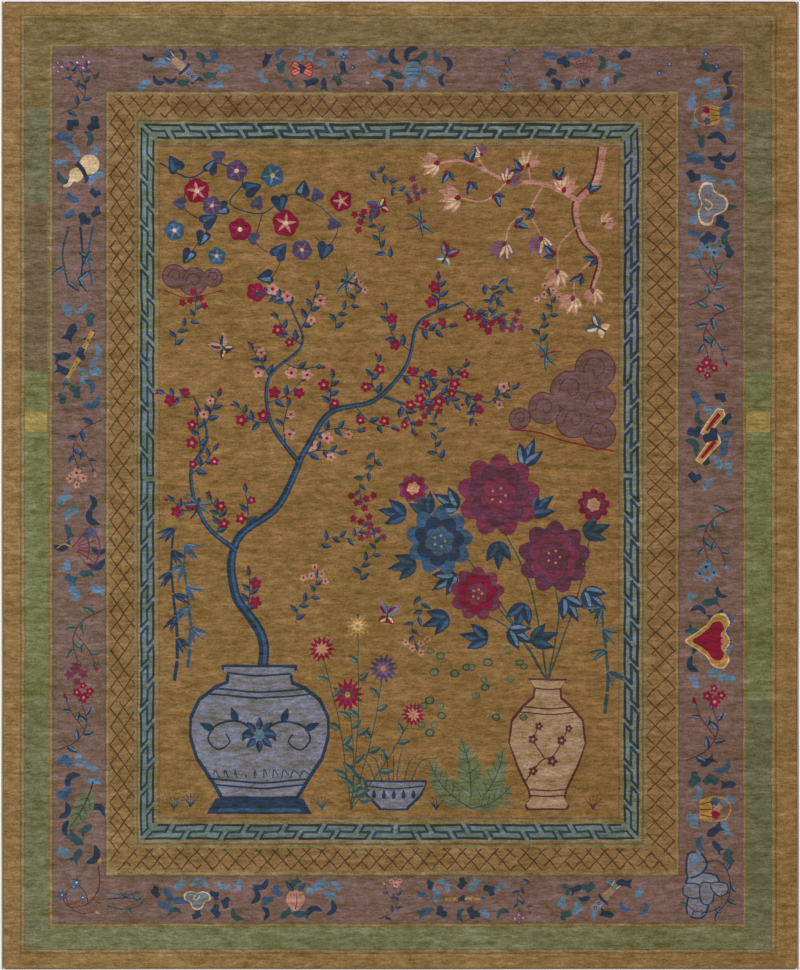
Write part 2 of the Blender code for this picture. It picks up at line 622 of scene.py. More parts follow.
@dataclass(frozen=True)
class Lattice:
    """The band of diamonds, drawn with single lines that cross."""

    plan: Plan
    # for the bottom, right, top and left: length of a diamond, diamonds across the band, share of the way
    # in where lines meet, and how much the diamonds change along the side
    sides: tuple[tuple[float, float, float, float], ...] = (
        (47.5, 1.22, 0.0, 0.0),
        (56.0, 1.5, 0.0, -0.045),
        (47.5, 1.2, 1.0, 0.0),
        (56.0, 1.8, 0.0, 0.045),
    )
    line: float = 3.8
    line_spread: tuple[float, float] = (0.75, 1.3)
    unevenness: float = 2.6
    dropped: float = 0.05
    pieces: int = 5
    # the stretch of the top side whose ground is browner
    brown_start: float = -700.0
    brown_end: float = 490.0

    def draw(self, sheet: Cartoon) -> None:
        """Fill the band and cross each mitred side with lines that lean both ways.

        Args:
            sheet: the drawing to add to.
        """
        outer = self.plan.rect(self.plan.lattice_start)
        inner = self.plan.rect(self.plan.lattice_end)
        sheet.add(outer.corners(), Dye.LATTICE_GOLD)
        sheet.add(Rect(self.brown_start, self.brown_end, inner.top, outer.top).corners(), Dye.LATTICE_BROWN)
        chance = random.Random(11)
        pen = Pen(sheet)
        starts, mitres = outer.corners(), inner.corners() - outer.corners()
        for index, (pitch, cells, meeting, growth) in enumerate(self.sides):
            after = (index + 1) % 4
            length = float(np.linalg.norm(starts[after] - starts[index]))
            along = (starts[after] - starts[index]) / length
            inwards = np.array([-along[1], along[0]])
            depth = mitres[index] @ inwards
            early = mitres[index] @ along
            late = -mitres[after] @ along
            count = round(length / pitch)
            step = length / count
            for number in range(-2, count + 3):
                for lean in (-1.0, 1.0):
                    foot = (number + 0.5) * step
                    foot += growth * foot * (foot / length - 1.0)
                    path = []
                    for share in np.linspace(0.0, 1.0, self.pieces + 1):
                        run = foot + lean * cells * step * (share - meeting)
                        if early * share <= run <= length - late * share:
                            drift = chance.uniform(-1, 1) * self.unevenness
                            path.append(starts[index] + along * (run + drift) + inwards * depth * share)
                    for here, there in zip(path, path[1:]):
                        width = self.line * chance.uniform(*self.line_spread)
                        if chance.random() > self.dropped:
                            pen.bar(here, there, width, Dye.LATTICE_LINE)


Motif = Callable[[Pen], None]

RIBBON_DYES = (Dye.NAVY, Dye.BLUE, Dye.SKY, Dye.NAVY, Dye.SKY, Dye.TEAL)
RIBBON_SPACING = 39.0
RIBBON_BAND = 54
EMBLEM_HALF_WIDTH = 44.0
RIBBON_SIZES = (0.9, 1.3)
CURL = [(-22, -8), (-15, 9), (2, 16), (18, 9), (25, -8), (14, -6), (3, 0), (-8, -3)]
FORKED_TAIL = [(-20, 2), (-6, 12), (12, 8), (26, 15), (19, 1), (25, -13), (10, -8), (-8, -8)]
KNOT = [(-18, -6), (-13, 10), (0, 7), (9, 15), (20, 5), (13, -4), (9, -15), (-5, -10)]


def ribbons(pen: Pen, reach: float, count: int, seed: int, middle: float) -> None:
    """Scatter pieces of ribbon round an emblem.

    Args:
        pen: its frame has +X across the band and +Y along it.
        reach: how far the ribbons spread along the band, each way.
        count: pieces of ribbon.
        seed: number that fixes their places.
        middle: space left for the emblem, each way along the band.
    """
    chance = random.Random(seed)
    taken: list[tuple[float, float]] = []
    while len(taken) < count:
        here = (chance.uniform(-RIBBON_BAND, RIBBON_BAND), chance.uniform(-reach, reach))
        on_emblem = (here[0] / EMBLEM_HALF_WIDTH) ** 2 + (here[1] / middle) ** 2 < 1.0
        crowded = any(math.dist(here, other) < RIBBON_SPACING for other in taken)
        if not on_emblem and not crowded:
            taken.append(here)
    for number, (x, y) in enumerate(taken):
        shape = (CURL, FORKED_TAIL, KNOT)[(number + seed) % 3]
        dye = RIBBON_DYES[(number * 5 + seed) % len(RIBBON_DYES)]
        own = pen.at(x, y, chance.uniform(0, 360), chance.uniform(*RIBBON_SIZES), chance.random() < 0.5)
        own.fill(shape, dye, curved=2)


def gourd(pen: Pen) -> None:
    """A cream double gourd tied with a navy sash.

    Args:
        pen: its frame.
    """
    own = pen.at(0, 0, 35)
    own.disc(-30, 0, 27, Dye.CREAM, 14)
    own.disc(12, 2, 19, Dye.CREAM, 12)
    own.ink([(28, 4), (44, 12), (58, 8)], 13, Dye.CREAM, 7)
    own.ink([(-6, -24), (-9, 0), (-5, 25)], 13, Dye.NAVY, 10)
    own.at(-6, 26, 60, 0.7).fill([(-20, -8), (0, 8), (20, -6), (6, -10)], Dye.NAVY, curved=2)


def flute(pen: Pen) -> None:
    """A yellow flute with a knotted sash.

    Args:
        pen: its frame.
    """
    own = pen.at(0, 0, 62)
    own.ink([(-70, 0), (0, 3), (72, 0)], 13, Dye.YARN_GOLD, 10)
    for x in (-42, -24, 22, 40):
        own.disc(x, 1, 2.6, Dye.MAROON, 6)
    own.at(-4, 2, 20, 0.95).fill(KNOT, Dye.NAVY, curved=2)
    own.leaf(74, 0, 10, 26, 14, Dye.BLUE)


def folding_fan(pen: Pen) -> None:
    """A folding fan drawn in crimson line with ribs.

    Args:
        pen: its frame.
    """
    own = pen.at(-18, 0, 0)
    arc = [(62 * math.cos(math.radians(a)), 62 * math.sin(math.radians(a))) for a in range(-48, 49, 16)]
    own.outline([(0, 0)] + arc, 3.4, Dye.MAGENTA, 1)
    for angle in range(-32, 33, 16):
        tip = (56 * math.cos(math.radians(angle)), 56 * math.sin(math.radians(angle)))
        own.ink([(14 * tip[0] / 56, 14 * tip[1] / 56), tip], 2.8, Dye.MAGENTA)
    own.ink([(34, -26), (38, 0), (34, 26)], 2.8, Dye.PLUM)
    own.ink([(0, 0), (-18, 8), (-34, -2)], 4.0, Dye.YARN_GOLD, 2.0)


def clappers(pen: Pen) -> None:
    """A pair of clappers: crimson boards edged with gold and tied with a sash.

    Args:
        pen: its frame.
    """
    for x, y, turn in ((-6, -34, 52), (6, 34, 52)):
        own = pen.at(x, y, turn)
        own.fill([(-40, -10), (34, -14), (44, 0), (34, 14), (-40, 10)], Dye.CREAM)
        own.fill([(-37, -7.5), (32, -11), (40, 0), (32, 11), (-37, 7.5)], Dye.YARN_GOLD)
        own.fill([(-27, -3.6), (27, -5.5), (27, 5.5), (-27, 3.6)], Dye.CRIMSON)
    pen.at(0, 0, 30, 1.2).fill(KNOT, Dye.NAVY, curved=2)


def fungus(pen: Pen) -> None:
    """A ruyi head in crimson with gold and cream edges.

    Args:
        pen: its frame.
    """
    shape = [(-62, 0), (-34, 20), (-8, 40), (6, 60), (32, 66), (46, 44), (36, 24), (48, 0)]
    shape += [(x, -y) for x, y in reversed(shape[1:-1])]
    for size, dye in ((1.0, Dye.CREAM), (0.93, Dye.YARN_GOLD), (0.70, Dye.CRIMSON)):
        pen.at(0, 0, 0, size).fill(shape, dye, curved=3)
    for y in (-14, 0, 14):
        pen.disc(30, y, 6, Dye.PINK, 8)


def drum(pen: Pen) -> None:
    """A long drum of bamboo in grey-white with scrolls.

    Args:
        pen: its frame.
    """
    own = pen.at(0, 0, 48)
    own.fill([(-52, -12), (-4, -14), (-4, 14), (-52, 12)], Dye.ROCK_GREY)
    own.fill([(4, -14), (50, -10), (50, 10), (4, 14)], Dye.ROSE_TAN)
    for x in (-38, -20):
        own.ink([(x - 6, -5), (x, 5), (x + 6, 0), (x, -5)], 2.6, Dye.NAVY)
    own.ink([(0, -24), (-2, 0), (2, 24)], 12, Dye.NAVY, 7)
    for y in (-9, 9):
        own.ink([(54, y), (74, y * 1.5)], 3.2, Dye.CREAM, 2)


def basket(pen: Pen) -> None:
    """A gold basket with a hoop and crimson flowers.

    Args:
        pen: its frame.
    """
    pen.fill([(-28, -24), (-28, 24), (4, 34), (4, -34)], Dye.YARN_GOLD)
    for y in (-16, 0, 16):
        pen.ink([(-26, y * 0.8), (2, y * 1.2)], 2.8, Dye.MAROON)
    pen.ink([(4, -32), (38, -24), (50, 0), (38, 24), (4, 32)], 3.6, Dye.YARN_GOLD, 3.6)
    for x, y, dye in ((12, -14, Dye.CRIMSON), (18, 4, Dye.PINK), (11, 19, Dye.BLUE)):
        pen.rosette(x, y, 12, 5, dye)


def cloud(pen: Pen) -> None:
    """A grey-blue cloud edged with cream.

    Args:
        pen: its frame.
    """
    shape = [(-22, -48), (-30, -20), (-22, 0), (-30, 22), (-20, 48), (2, 50), (10, 30), (34, 18), (42, 0)]
    shape += [(34, -18), (10, -30), (2, -50)]
    pen.fill(shape, Dye.CREAM, curved=3)
    pen.at(0, 0, 0, 0.88).fill(shape, Dye.ROCK_GREY, curved=3)
    pen.ink([(-14, -8), (-4, -14), (4, -4), (-4, 6), (-14, 10)], 3.4, Dye.CREAM)


def scrolls(pen: Pen) -> None:
    """Two tied scrolls in coral and crimson line.

    Args:
        pen: its frame.
    """
    for turn, dye in ((25, Dye.CORAL), (-30, Dye.CORAL)):
        own = pen.at(0, 0, turn)
        own.fill([(-14, -46), (14, -46), (14, 46), (-14, 46)], Dye.CRIMSON)
        own.fill([(-10, -42), (10, -42), (10, 42), (-10, 42)], dye)
        own.ink([(0, -40), (0, 40)], 3.0, Dye.CRIMSON)
    pen.at(0, 0, 0, 1.1).fill(KNOT, Dye.NAVY, curved=2)


def purse(pen: Pen) -> None:
    """A sky-blue purse with navy bands.

    Args:
        pen: its frame.
    """
    shape = [(-34, -20), (-38, 0), (-34, 20), (-10, 32), (14, 24), (30, 10), (30, -10), (14, -24), (-10, -32)]
    pen.fill(shape, Dye.SKY, curved=2)
    for x in (-24, -12, 2):
        pen.ink([(x, -24), (x + 3, 0), (x, 24)], 2.8, Dye.BLUE)
    pen.ink([(26, -18), (32, 0), (26, 18)], 7, Dye.NAVY, 5)


def peach(pen: Pen) -> None:
    """A pink peach with two leaves.

    Args:
        pen: its frame.
    """
    pen.fill(
        [(-30, 0), (-22, 24), (2, 32), (26, 20), (40, 0), (26, -20), (2, -32), (-22, -24)],
        Dye.PINK, curved=3,
    )
    pen.ink([(36, 0), (10, 5), (-20, 2)], 3.2, Dye.MAROON, 1.6)
    pen.leaf(-26, 8, 140, 44, 20, Dye.TEAL, Dye.BLUE)
    pen.leaf(-26, -8, 215, 44, 20, Dye.NAVY, Dye.BLUE)


def broad_leaf(pen: Pen) -> None:
    """A green leaf with a navy stalk and veins.

    Args:
        pen: its frame.
    """
    pen.leaf(-60, 0, 0, 130, 52, Dye.LEAF_GREEN, None, 8)
    pen.ink([(-78, -4), (-50, 2), (0, 8), (60, 3)], 4.4, Dye.NAVY, 2.0)
    for x in (-34, -10, 14):
        pen.ink([(x, 5), (x + 16, 22)], 2.6, Dye.DEEP_GREEN)
        pen.ink([(x, 5), (x + 18, -10)], 2.6, Dye.DEEP_GREEN)


EMBLEMS: tuple[Motif, ...] = (
    gourd, flute, folding_fan, broad_leaf, cloud, clappers, fungus, basket, drum, scrolls, purse, peach,
)


def blossom(pen: Pen, radius: float, dye: Dye, heart: Dye, petals: int = 5) -> None:
    """An open flower with a small heart."""
    pen.rosette(0, 0, radius, petals, dye, 0.36)
    pen.disc(0, 0, radius * 0.28, heart, 7)


def peony(pen: Pen, radius: float, dyes: tuple[Dye, Dye, Dye]) -> None:
    """A full peony: scalloped rings of petals with dark edges round a gold heart.

    Args:
        pen: its frame.
        radius: its radius.
        dyes: shades of its rings, from the outside in.
    """
    outer, middle, heart = dyes
    for share, petals, dye, edge in (
        (1.0, 9, outer, None),
        (0.72, 7, middle, Dye.NAVY),
        (0.44, 6, heart, Dye.MAROON),
    ):
        own = pen.at(0, 0, 23 * petals)
        if edge is not None:
            own.rosette(0, 0, radius * share + 3.4, petals, edge, 0.22)
        own.rosette(0, 0, radius * share, petals, dye, 0.22)
    for step in range(5):
        angle = math.radians(72 * step)
        pen.disc(radius * 0.17 * math.cos(angle), radius * 0.17 * math.sin(angle), 4.2, Dye.YARN_GOLD, 6)


def aster(pen: Pen, radius: float, dye: Dye, light: Dye) -> None:
    """A chrysanthemum: two rings of narrow petals.

    Args:
        pen: its frame.
        radius: its radius.
        dye, light: shades of the outer and the inner ring.
    """
    pen.petals(14, radius * 0.2, radius * 0.8, radius * 0.26, dye)
    pen.petals(9, radius * 0.1, radius * 0.5, radius * 0.2, light, 12)
    pen.disc(0, 0, radius * 0.18, Dye.YARN_GOLD, 8)


def sprig(
    pen: Pen, route: Points, leaves: int, leaf_size: tuple[float, float],
    dyes: tuple[Dye, Dye | None] = (Dye.NAVY, Dye.BLUE), stem: Dye = Dye.NAVY, stem_width: float = 3.0,
) -> Array:
    """A stem with leaves on alternate sides and one at its tip.

    Args:
        pen, route: the frame, and the places in it that the stem passes through.
        leaves, leaf_size: how many leaves its sides bear, and the length and width of one.
        dyes: shade of a leaf and of its lit half.
        stem, stem_width: shade and width of the stem.

    Returns:
        The stem's path, for what grows on it.
    """
    path = pen.ink(route, stem_width, stem, stem_width * 0.8)
    ahead = headings(path)
    length, width = leaf_size
    for step in range(leaves):
        place = int((step + 1.0) / (leaves + 1) * (len(path) - 1))
        heading = bearing(ahead[place])
        side = 1.0 if step % 2 else -1.0
        size = 1.0 - 0.25 * step / max(leaves, 1)
        pen.leaf(*path[place], heading + side * 52, length * size, width * size, *dyes)
    heading = bearing(ahead[-1])
    pen.leaf(*path[-1], heading, length * 0.8, width * 0.8, *dyes)
    return path


def flower_sprig(dye: Dye, heart: Dye, leaf_dyes: tuple[Dye, Dye], pen: Pen) -> None:
    """A border plant: a bowed stem with leaves, buds and a bunch of small flowers.

    Args:
        dye, heart: shades of its flowers and of their hearts.
        leaf_dyes: shades of a leaf and of its lit half.
        pen: its frame.
    """
    path = sprig(pen, [(-58, -78), (-6, -52), (18, -4), (6, 44)], 5, (34, 15), leaf_dyes, Dye.MAROON)
    middle = path[len(path) // 2]
    sprig(pen, [tuple(middle), (-20, 18), (-34, 50)], 2, (26, 12), leaf_dyes, Dye.MAROON, 2.6)
    for x, y, size in ((10, 62, 15), (-8, 76, 12), (26, 78, 12), (8, 94, 10)):
        blossom(pen.at(x, y), size, dye, heart)
    pen.leaf(-38, 58, 100, 18, 9, dye)


def tendril(dye: Dye, pen: Pen) -> None:
    """A thin tendril with two star flowers and a bud.

    Args:
        dye: its shade.
        pen: its frame.
    """
    pen.ink([(-46, -64), (-50, -10), (-20, 34), (26, 44), (46, 20)], 2.8, dye)
    pen.ink([(-20, 34), (-14, 8), (6, -14)], 2.6, dye)
    for x, y, size in ((46, 14, 17), (8, -18, 14)):
        pen.at(x, y).petals(6, 0, size, 6.5, Dye.BLUE, 15)
        pen.disc(x, y, 2.6, Dye.CREAM, 6)
    pen.leaf(-46, -64, 250, 20, 9, Dye.YARN_GOLD)


def bamboo_stems(pen: Pen) -> None:
    """Three young bamboo stems with drooping leaves.

    Args:
        pen: its frame.
    """
    for x, lean, dye in ((-26, 8, Dye.BLUE), (0, -6, Dye.NAVY), (24, 12, Dye.TEAL)):
        pen.ink([(x, -62), (x + lean, 0), (x, 62)], 5.2, dye, 3.4)
    for x, y, turn in (
        (-20, 30, 40), (4, 44, 120), (30, 20, 30), (2, -8, 150), (28, 52, 140), (-24, -12, 60),
    ):
        pen.leaf(x, y, turn, 36, 9, Dye.NAVY, Dye.SKY)


def corner_rock(pen: Pen) -> None:
    """Small grey-blue rocks with navy edges and a tendril.

    Args:
        pen: its frame.
    """
    for shape in (
        [(-58, -70), (-20, -80), (-4, -44), (-10, -14), (-52, -18)],
        [(-58, -14), (-8, -18), (20, -2), (14, 26), (-30, 34), (-58, 22)],
        [(-58, 24), (-24, 32), (-10, 56), (-26, 84), (-58, 80)],
    ):
        pen.fill(shape, Dye.ROCK_GREY, curved=3)
        pen.outline(shape, 5.2, Dye.NAVY, 3)
    pen.ink([(-20, 60), (24, 60), (48, 20), (44, -30), (20, -66)], 2.8, Dye.NAVY)
    for x, y, turn in ((40, 40, 60), (50, 6, 300), (42, -34, 330), (20, -66, 250)):
        pen.leaf(x, y, turn, 26, 11, Dye.NAVY, Dye.SKY)


@dataclass(frozen=True)
class EmblemBorder:
    """The mauve band: emblems in ribbons between flowering plants.

    Each row of a side's list is the distance along the side from its middle, the motif, its turn
    and its size. Distances run to the left of the outward direction.
    """

    plan: Plan
    # scales of a motif and of its ribbons, on the long sides and on the short ones
    upright_scales: tuple[float, float] = (1.16, 1.06)
    level_scales: tuple[float, float] = (0.94, 0.92)
    seed_step: int = 17
    plant_scale: float = 1.1
    ribbon_reach: float = 138.0
    ribbon_count: int = 14
    emblem_room: float = 58.0

    def draw(self, sheet: Cartoon) -> None:
        """Fill the band and lay the motifs of the four sides.

        Args:
            sheet: the drawing to add to.
        """
        sheet.add(self.plan.rect(self.plan.mauve_start).corners(), Dye.MAUVE)
        magenta = partial(flower_sprig, Dye.MAGENTA, Dye.PLUM, (Dye.TEAL, Dye.LEAF_GREEN))
        crimson = partial(flower_sprig, Dye.CRIMSON, Dye.PINK, (Dye.NAVY, Dye.SKY))
        lilac = partial(flower_sprig, Dye.LILAC, Dye.CREAM, (Dye.NAVY, Dye.BLUE))
        sky = partial(flower_sprig, Dye.SKY, Dye.NAVY, (Dye.TEAL, Dye.SKY))
        pink = partial(flower_sprig, Dye.PINK, Dye.CRIMSON, (Dye.NAVY, Dye.BLUE))
        self.side(sheet, Side.LEFT, (
            (-1215, lilac, 180, 0.8), (-960, gourd, 0, 1.0), (-700, bamboo_stems, 0, 1.15),
            (-400, flute, 0, 1.0), (-110, pink, 0, 0.9), (190, folding_fan, 180, 1.2),
            (480, magenta, 0, 1.0), (720, crimson, 180, 0.9), (985, broad_leaf, 60, 1.0),
            (1235, partial(tendril, Dye.MAROON), 0, 0.95),
        ))
        self.side(sheet, Side.RIGHT, (
            (-1225, corner_rock, 0, 0.95), (-990, basket, 0, 1.05), (-740, crimson, 0, 1.0),
            (-475, fungus, 0, 1.1), (-170, sky, 180, 1.0), (150, clappers, 0, 1.05),
            (450, crimson, 180, 0.95), (640, sky, 0, 0.9), (860, cloud, 0, 1.1), (1130, basket, 180, 0.85),
            (1270, partial(tendril, Dye.OLIVE_GREY), 90, 0.8),
        ))
        self.side(sheet, Side.TOP, (
            (985, lilac, 0, 0.75), (660, drum, 0, 1.0), (300, scrolls, 0, 0.8),
            (160, partial(tendril, Dye.TEAL), 0, 0.8), (-40, purse, 0, 0.9), (-330, sky, 90, 0.72),
            (-560, folding_fan, 0, 0.9), (-830, partial(tendril, Dye.OLIVE_GREY), 90, 0.8),
        ))
        self.side(sheet, Side.BOTTOM, (
            (-985, partial(tendril, Dye.MAROON), 180, 0.8), (-845, bamboo_stems, 0, 0.8),
            (-620, cloud, 0, 0.85), (-320, peach, 0, 0.95), (-20, pink, 90, 0.72), (190, flute, 30, 0.8),
            (370, lilac, 270, 0.72), (620, drum, 90, 0.95), (930, corner_rock, 0, 0.8),
        ))

    def side(self, sheet: Cartoon, side: Side, rows: Sequence[tuple[float, Motif, float, float]]) -> None:
        """Lay one side's motifs, each emblem with ribbons about it.

        Args:
            sheet: the drawing.
            side: the side.
            rows: its motifs.
        """
        base = self.plan.side_pen(sheet, side, self.plan.mauve_start, self.plan.mauve_end)
        for number, (along, motif, turn, size) in enumerate(rows):
            own = base.at(0.0, along)
            scale, spread = self.upright_scales if side.upright else self.level_scales
            if motif in EMBLEMS:
                seed = self.seed_step * number + int(side.value) // 90
                ribbons(own.at(0, 0, 0, spread), self.ribbon_reach, self.ribbon_count, seed, self.emblem_room)
            else:
                scale *= self.plant_scale
            motif(own.at(0, 0, turn, size * scale))


def vessel(
    pen: Pen, profile: Points, body: Dye, edge: Dye, line: float, bands: Sequence[tuple[float, float]],
) -> None:
    """Draw a jar or vase, with its foot on the frame's origin.

    Args:
        pen: the vessel's frame.
        profile: its right half, from foot to mouth.
        body: shade of its glaze.
        edge: shade of its drawn lines.
        line: width of the drawn edge.
        bands: height and half width of the lines drawn across it.
    """
    right = np.asarray(profile, float)
    shape = np.vstack([right, right[::-1] * (-1.0, 1.0)])
    pen.fill(shape, edge)
    inner = shape - np.sign(shape - (0.0, shape[:, 1].mean())) * line
    pen.fill(inner, body)
    for height, half in bands:
        pen.ink([(-half, height), (0, height - half * 0.08), (half, height)], line * 0.7, edge, line * 0.7)


def scroll(pen: Pen, dye: Dye, width: float) -> None:
    """A curling stem with leaves, as painted on porcelain.

    Args:
        pen: its frame.
        dye: its shade.
        width: width of the stem.
    """
    pen.ink([(0, 0), (40, 26), (86, 20), (104, -8), (84, -30), (60, -16), (68, 2)], width, dye, width * 0.6)
    pen.leaf(46, 24, 70, 34, 16, dye)
    pen.leaf(92, 10, 25, 34, 16, dye)
    pen.leaf(20, 12, -60, 30, 14, dye)


def heart_leaf(pen: Pen, length: float, dye: Dye, light: Dye) -> None:
    """A heart-shaped leaf, one half lit.

    Args:
        pen: its frame.
        length: from stalk to tip.
        dye, light: shades of the leaf and of its lit half.
    """
    half = [(0.0, 0.0), (-0.16, 0.2), (-0.08, 0.44), (0.18, 0.52), (0.5, 0.36), (1.0, 0.0)]
    shape = np.array(half + [(x, -y) for x, y in half[-2:0:-1]]) * length
    pen.fill(shape, dye, curved=2)
    pen.fill(np.array([(0.04, 0.05), (0.1, 0.36), (0.46, 0.26), (0.84, 0.03)]) * length, light)


def bindweed(pen: Pen, radius: float, dye: Dye, light: Dye) -> None:
    """A round open trumpet flower with a five-rayed star.

    Args:
        pen: its frame.
        radius: its radius.
        dye, light: shades of the flower and of its star.
    """
    pen.rosette(0, 0, radius, 5, dye, 0.14)
    pen.petals(5, 0, radius * 0.8, radius * 0.24, light)
    pen.disc(0, 0, radius * 0.2, Dye.CREAM, 8)


def magnolia(pen: Pen, size: float, dye: Dye, base: Dye) -> None:
    """A magnolia flower that opens upwards along the frame's +X.

    Args:
        pen: its frame.
        size: length of its petals.
        dye, base: shades of the petals and of their foot.
    """
    for turn, length in ((58, 0.8), (-58, 0.8), (30, 1.0), (-30, 1.0), (0, 0.95)):
        pen.leaf(0, 0, turn, size * length, size * 0.44, dye, Dye.CREAM if turn >= 0 else None)
    pen.leaf(-size * 0.12, 0, 0, size * 0.36, size * 0.26, base)


def cloud_bank(pen: Pen, lobes: Sequence[tuple[float, float, float]], dye: Dye, edge: Dye) -> None:
    """Round cloud heads with a curl in each.

    Args:
        pen: its frame.
        lobes: the cloud heads, each a place and a radius.
        dye, edge: shades of the heads and of their lines.
    """
    for x, y, radius in lobes:
        pen.disc(x, y, radius + 4.0, edge, 26)
    for x, y, radius in lobes:
        pen.disc(x, y, radius, dye, 26)
    for x, y, radius in lobes:
        turns = ((-0.62, -0.1), (-0.3, 0.56), (0.34, 0.5), (0.44, -0.06), (0.06, -0.3), (-0.16, 0.08))
        pen.ink(np.array(turns) * radius + (x, y), 4.0, edge, 3.0)


def butterfly(pen: Pen, wing: Dye, spot: Dye) -> None:
    """A butterfly with spread wings.

    Args:
        pen: its frame.
        wing, spot: shades of the wings.
    """
    for side in (1, -1):
        pen.leaf(4, 0, side * 42, 40, 24, wing, spot)
        pen.leaf(-2, 0, side * 128, 28, 18, spot, Dye.CREAM)
        pen.ink([(12, 0), (24, side * 5), (33, side * 13)], 2.4, Dye.NAVY, 1.6)
    pen.ink([(-18, 0), (0, 0), (16, 0)], 5.5, Dye.NAVY, 3.0)


def dragonfly(pen: Pen, body: Dye, wing: Dye) -> None:
    """A dragonfly with four narrow wings.

    Args:
        pen: its frame.
        body, wing: shades of its body and wings.
    """
    pen.ink([(-48, 6), (-20, -2), (12, 0)], 5.0, body, 7.0)
    pen.disc(17, 0, 6.5, body, 8)
    for turn, length in ((68, 52), (112, 46), (-68, 52), (-112, 46)):
        pen.leaf(4, 0, turn, length, 12, wing, Dye.SKY)


def bamboo(pen: Pen, height: float, joints: int, dye: Dye, light: Dye, seed: int) -> None:
    """A bamboo cane in lengths, with hanging leaves at its joints.

    Args:
        pen: its frame.
        height: of the cane.
        joints: lengths of cane.
        dye, light: shades of the cane and of its lit leaves.
        seed: number that fixes how the leaves hang.
    """
    chance = random.Random(seed)
    step = height / joints
    for joint in range(joints):
        x = 10.0 * math.sin(joint * 0.9)
        above = 10.0 * math.sin((joint + 1) * 0.9)
        pen.ink([(x, joint * step + 3), (above, (joint + 1) * step - 3)], 11.0 - 5.0 * joint / joints, dye)
        if joint >= 1:
            side = 1.0 if joint % 2 else -1.0
            for count in range(4):
                turn = 270.0 + side * chance.uniform(15, 85)
                pen.leaf(
                    above, (joint + 1) * step, turn, chance.uniform(44, 66), 12, dye,
                    light if count % 2 else None,
                )


def plantain(pen: Pen, length: float, width: float, bend: float) -> None:
    """A broad green leaf with a dark rib and side veins.

    Args:
        pen: its frame.
        length, width: size of the leaf.
        bend: how far its middle lies to one side.
    """
    pen.leaf(0, 0, 0, length, width, Dye.LEAF_GREEN, None, bend)
    spine = [(length * t, bend * math.sin(math.pi * t)) for t in (0.0, 0.25, 0.5, 0.75, 0.96)]
    pen.ink(spine, 4.6, Dye.DEEP_GREEN, 2.4)
    for t in (0.2, 0.34, 0.48, 0.62, 0.76):
        root = (length * t, bend * math.sin(math.pi * t))
        for side in (1, -1):
            reach = width * 0.4 * math.sin(math.pi * (0.12 + 0.8 * t))
            pen.ink([root, (root[0] + 22, root[1] + side * reach)], 2.6, Dye.DEEP_GREEN, 2.0)


def grass(pen: Pen, blades: int, dye: Dye) -> None:
    """A tuft of grass.

    Args:
        pen: its frame.
        blades: how many blades it has.
        dye: their shade.
    """
    for step in range(blades):
        turn = math.radians(90.0 + 62.0 * (step / (blades - 1) - 0.5) * 2)
        pen.ink(
            [(0, 0), (16 * math.cos(turn), 20), (38 * math.cos(turn), 44 * math.sin(turn))],
            2.8, dye, 1.8,
        )


RED = (Dye.CRIMSON, Dye.PINK)
WINE = (Dye.CRIMSON, Dye.MAGENTA)
VIOLET = (Dye.PURPLE, Dye.LILAC)
AZURE = (Dye.BLUE, Dye.SKY)


@dataclass(frozen=True)
class Branch:
    """A limb of the plum tree."""

    route: tuple[tuple[float, float], ...]
    width: float
    tip: float
    twigs: int
    twig_length: float
    seed: int


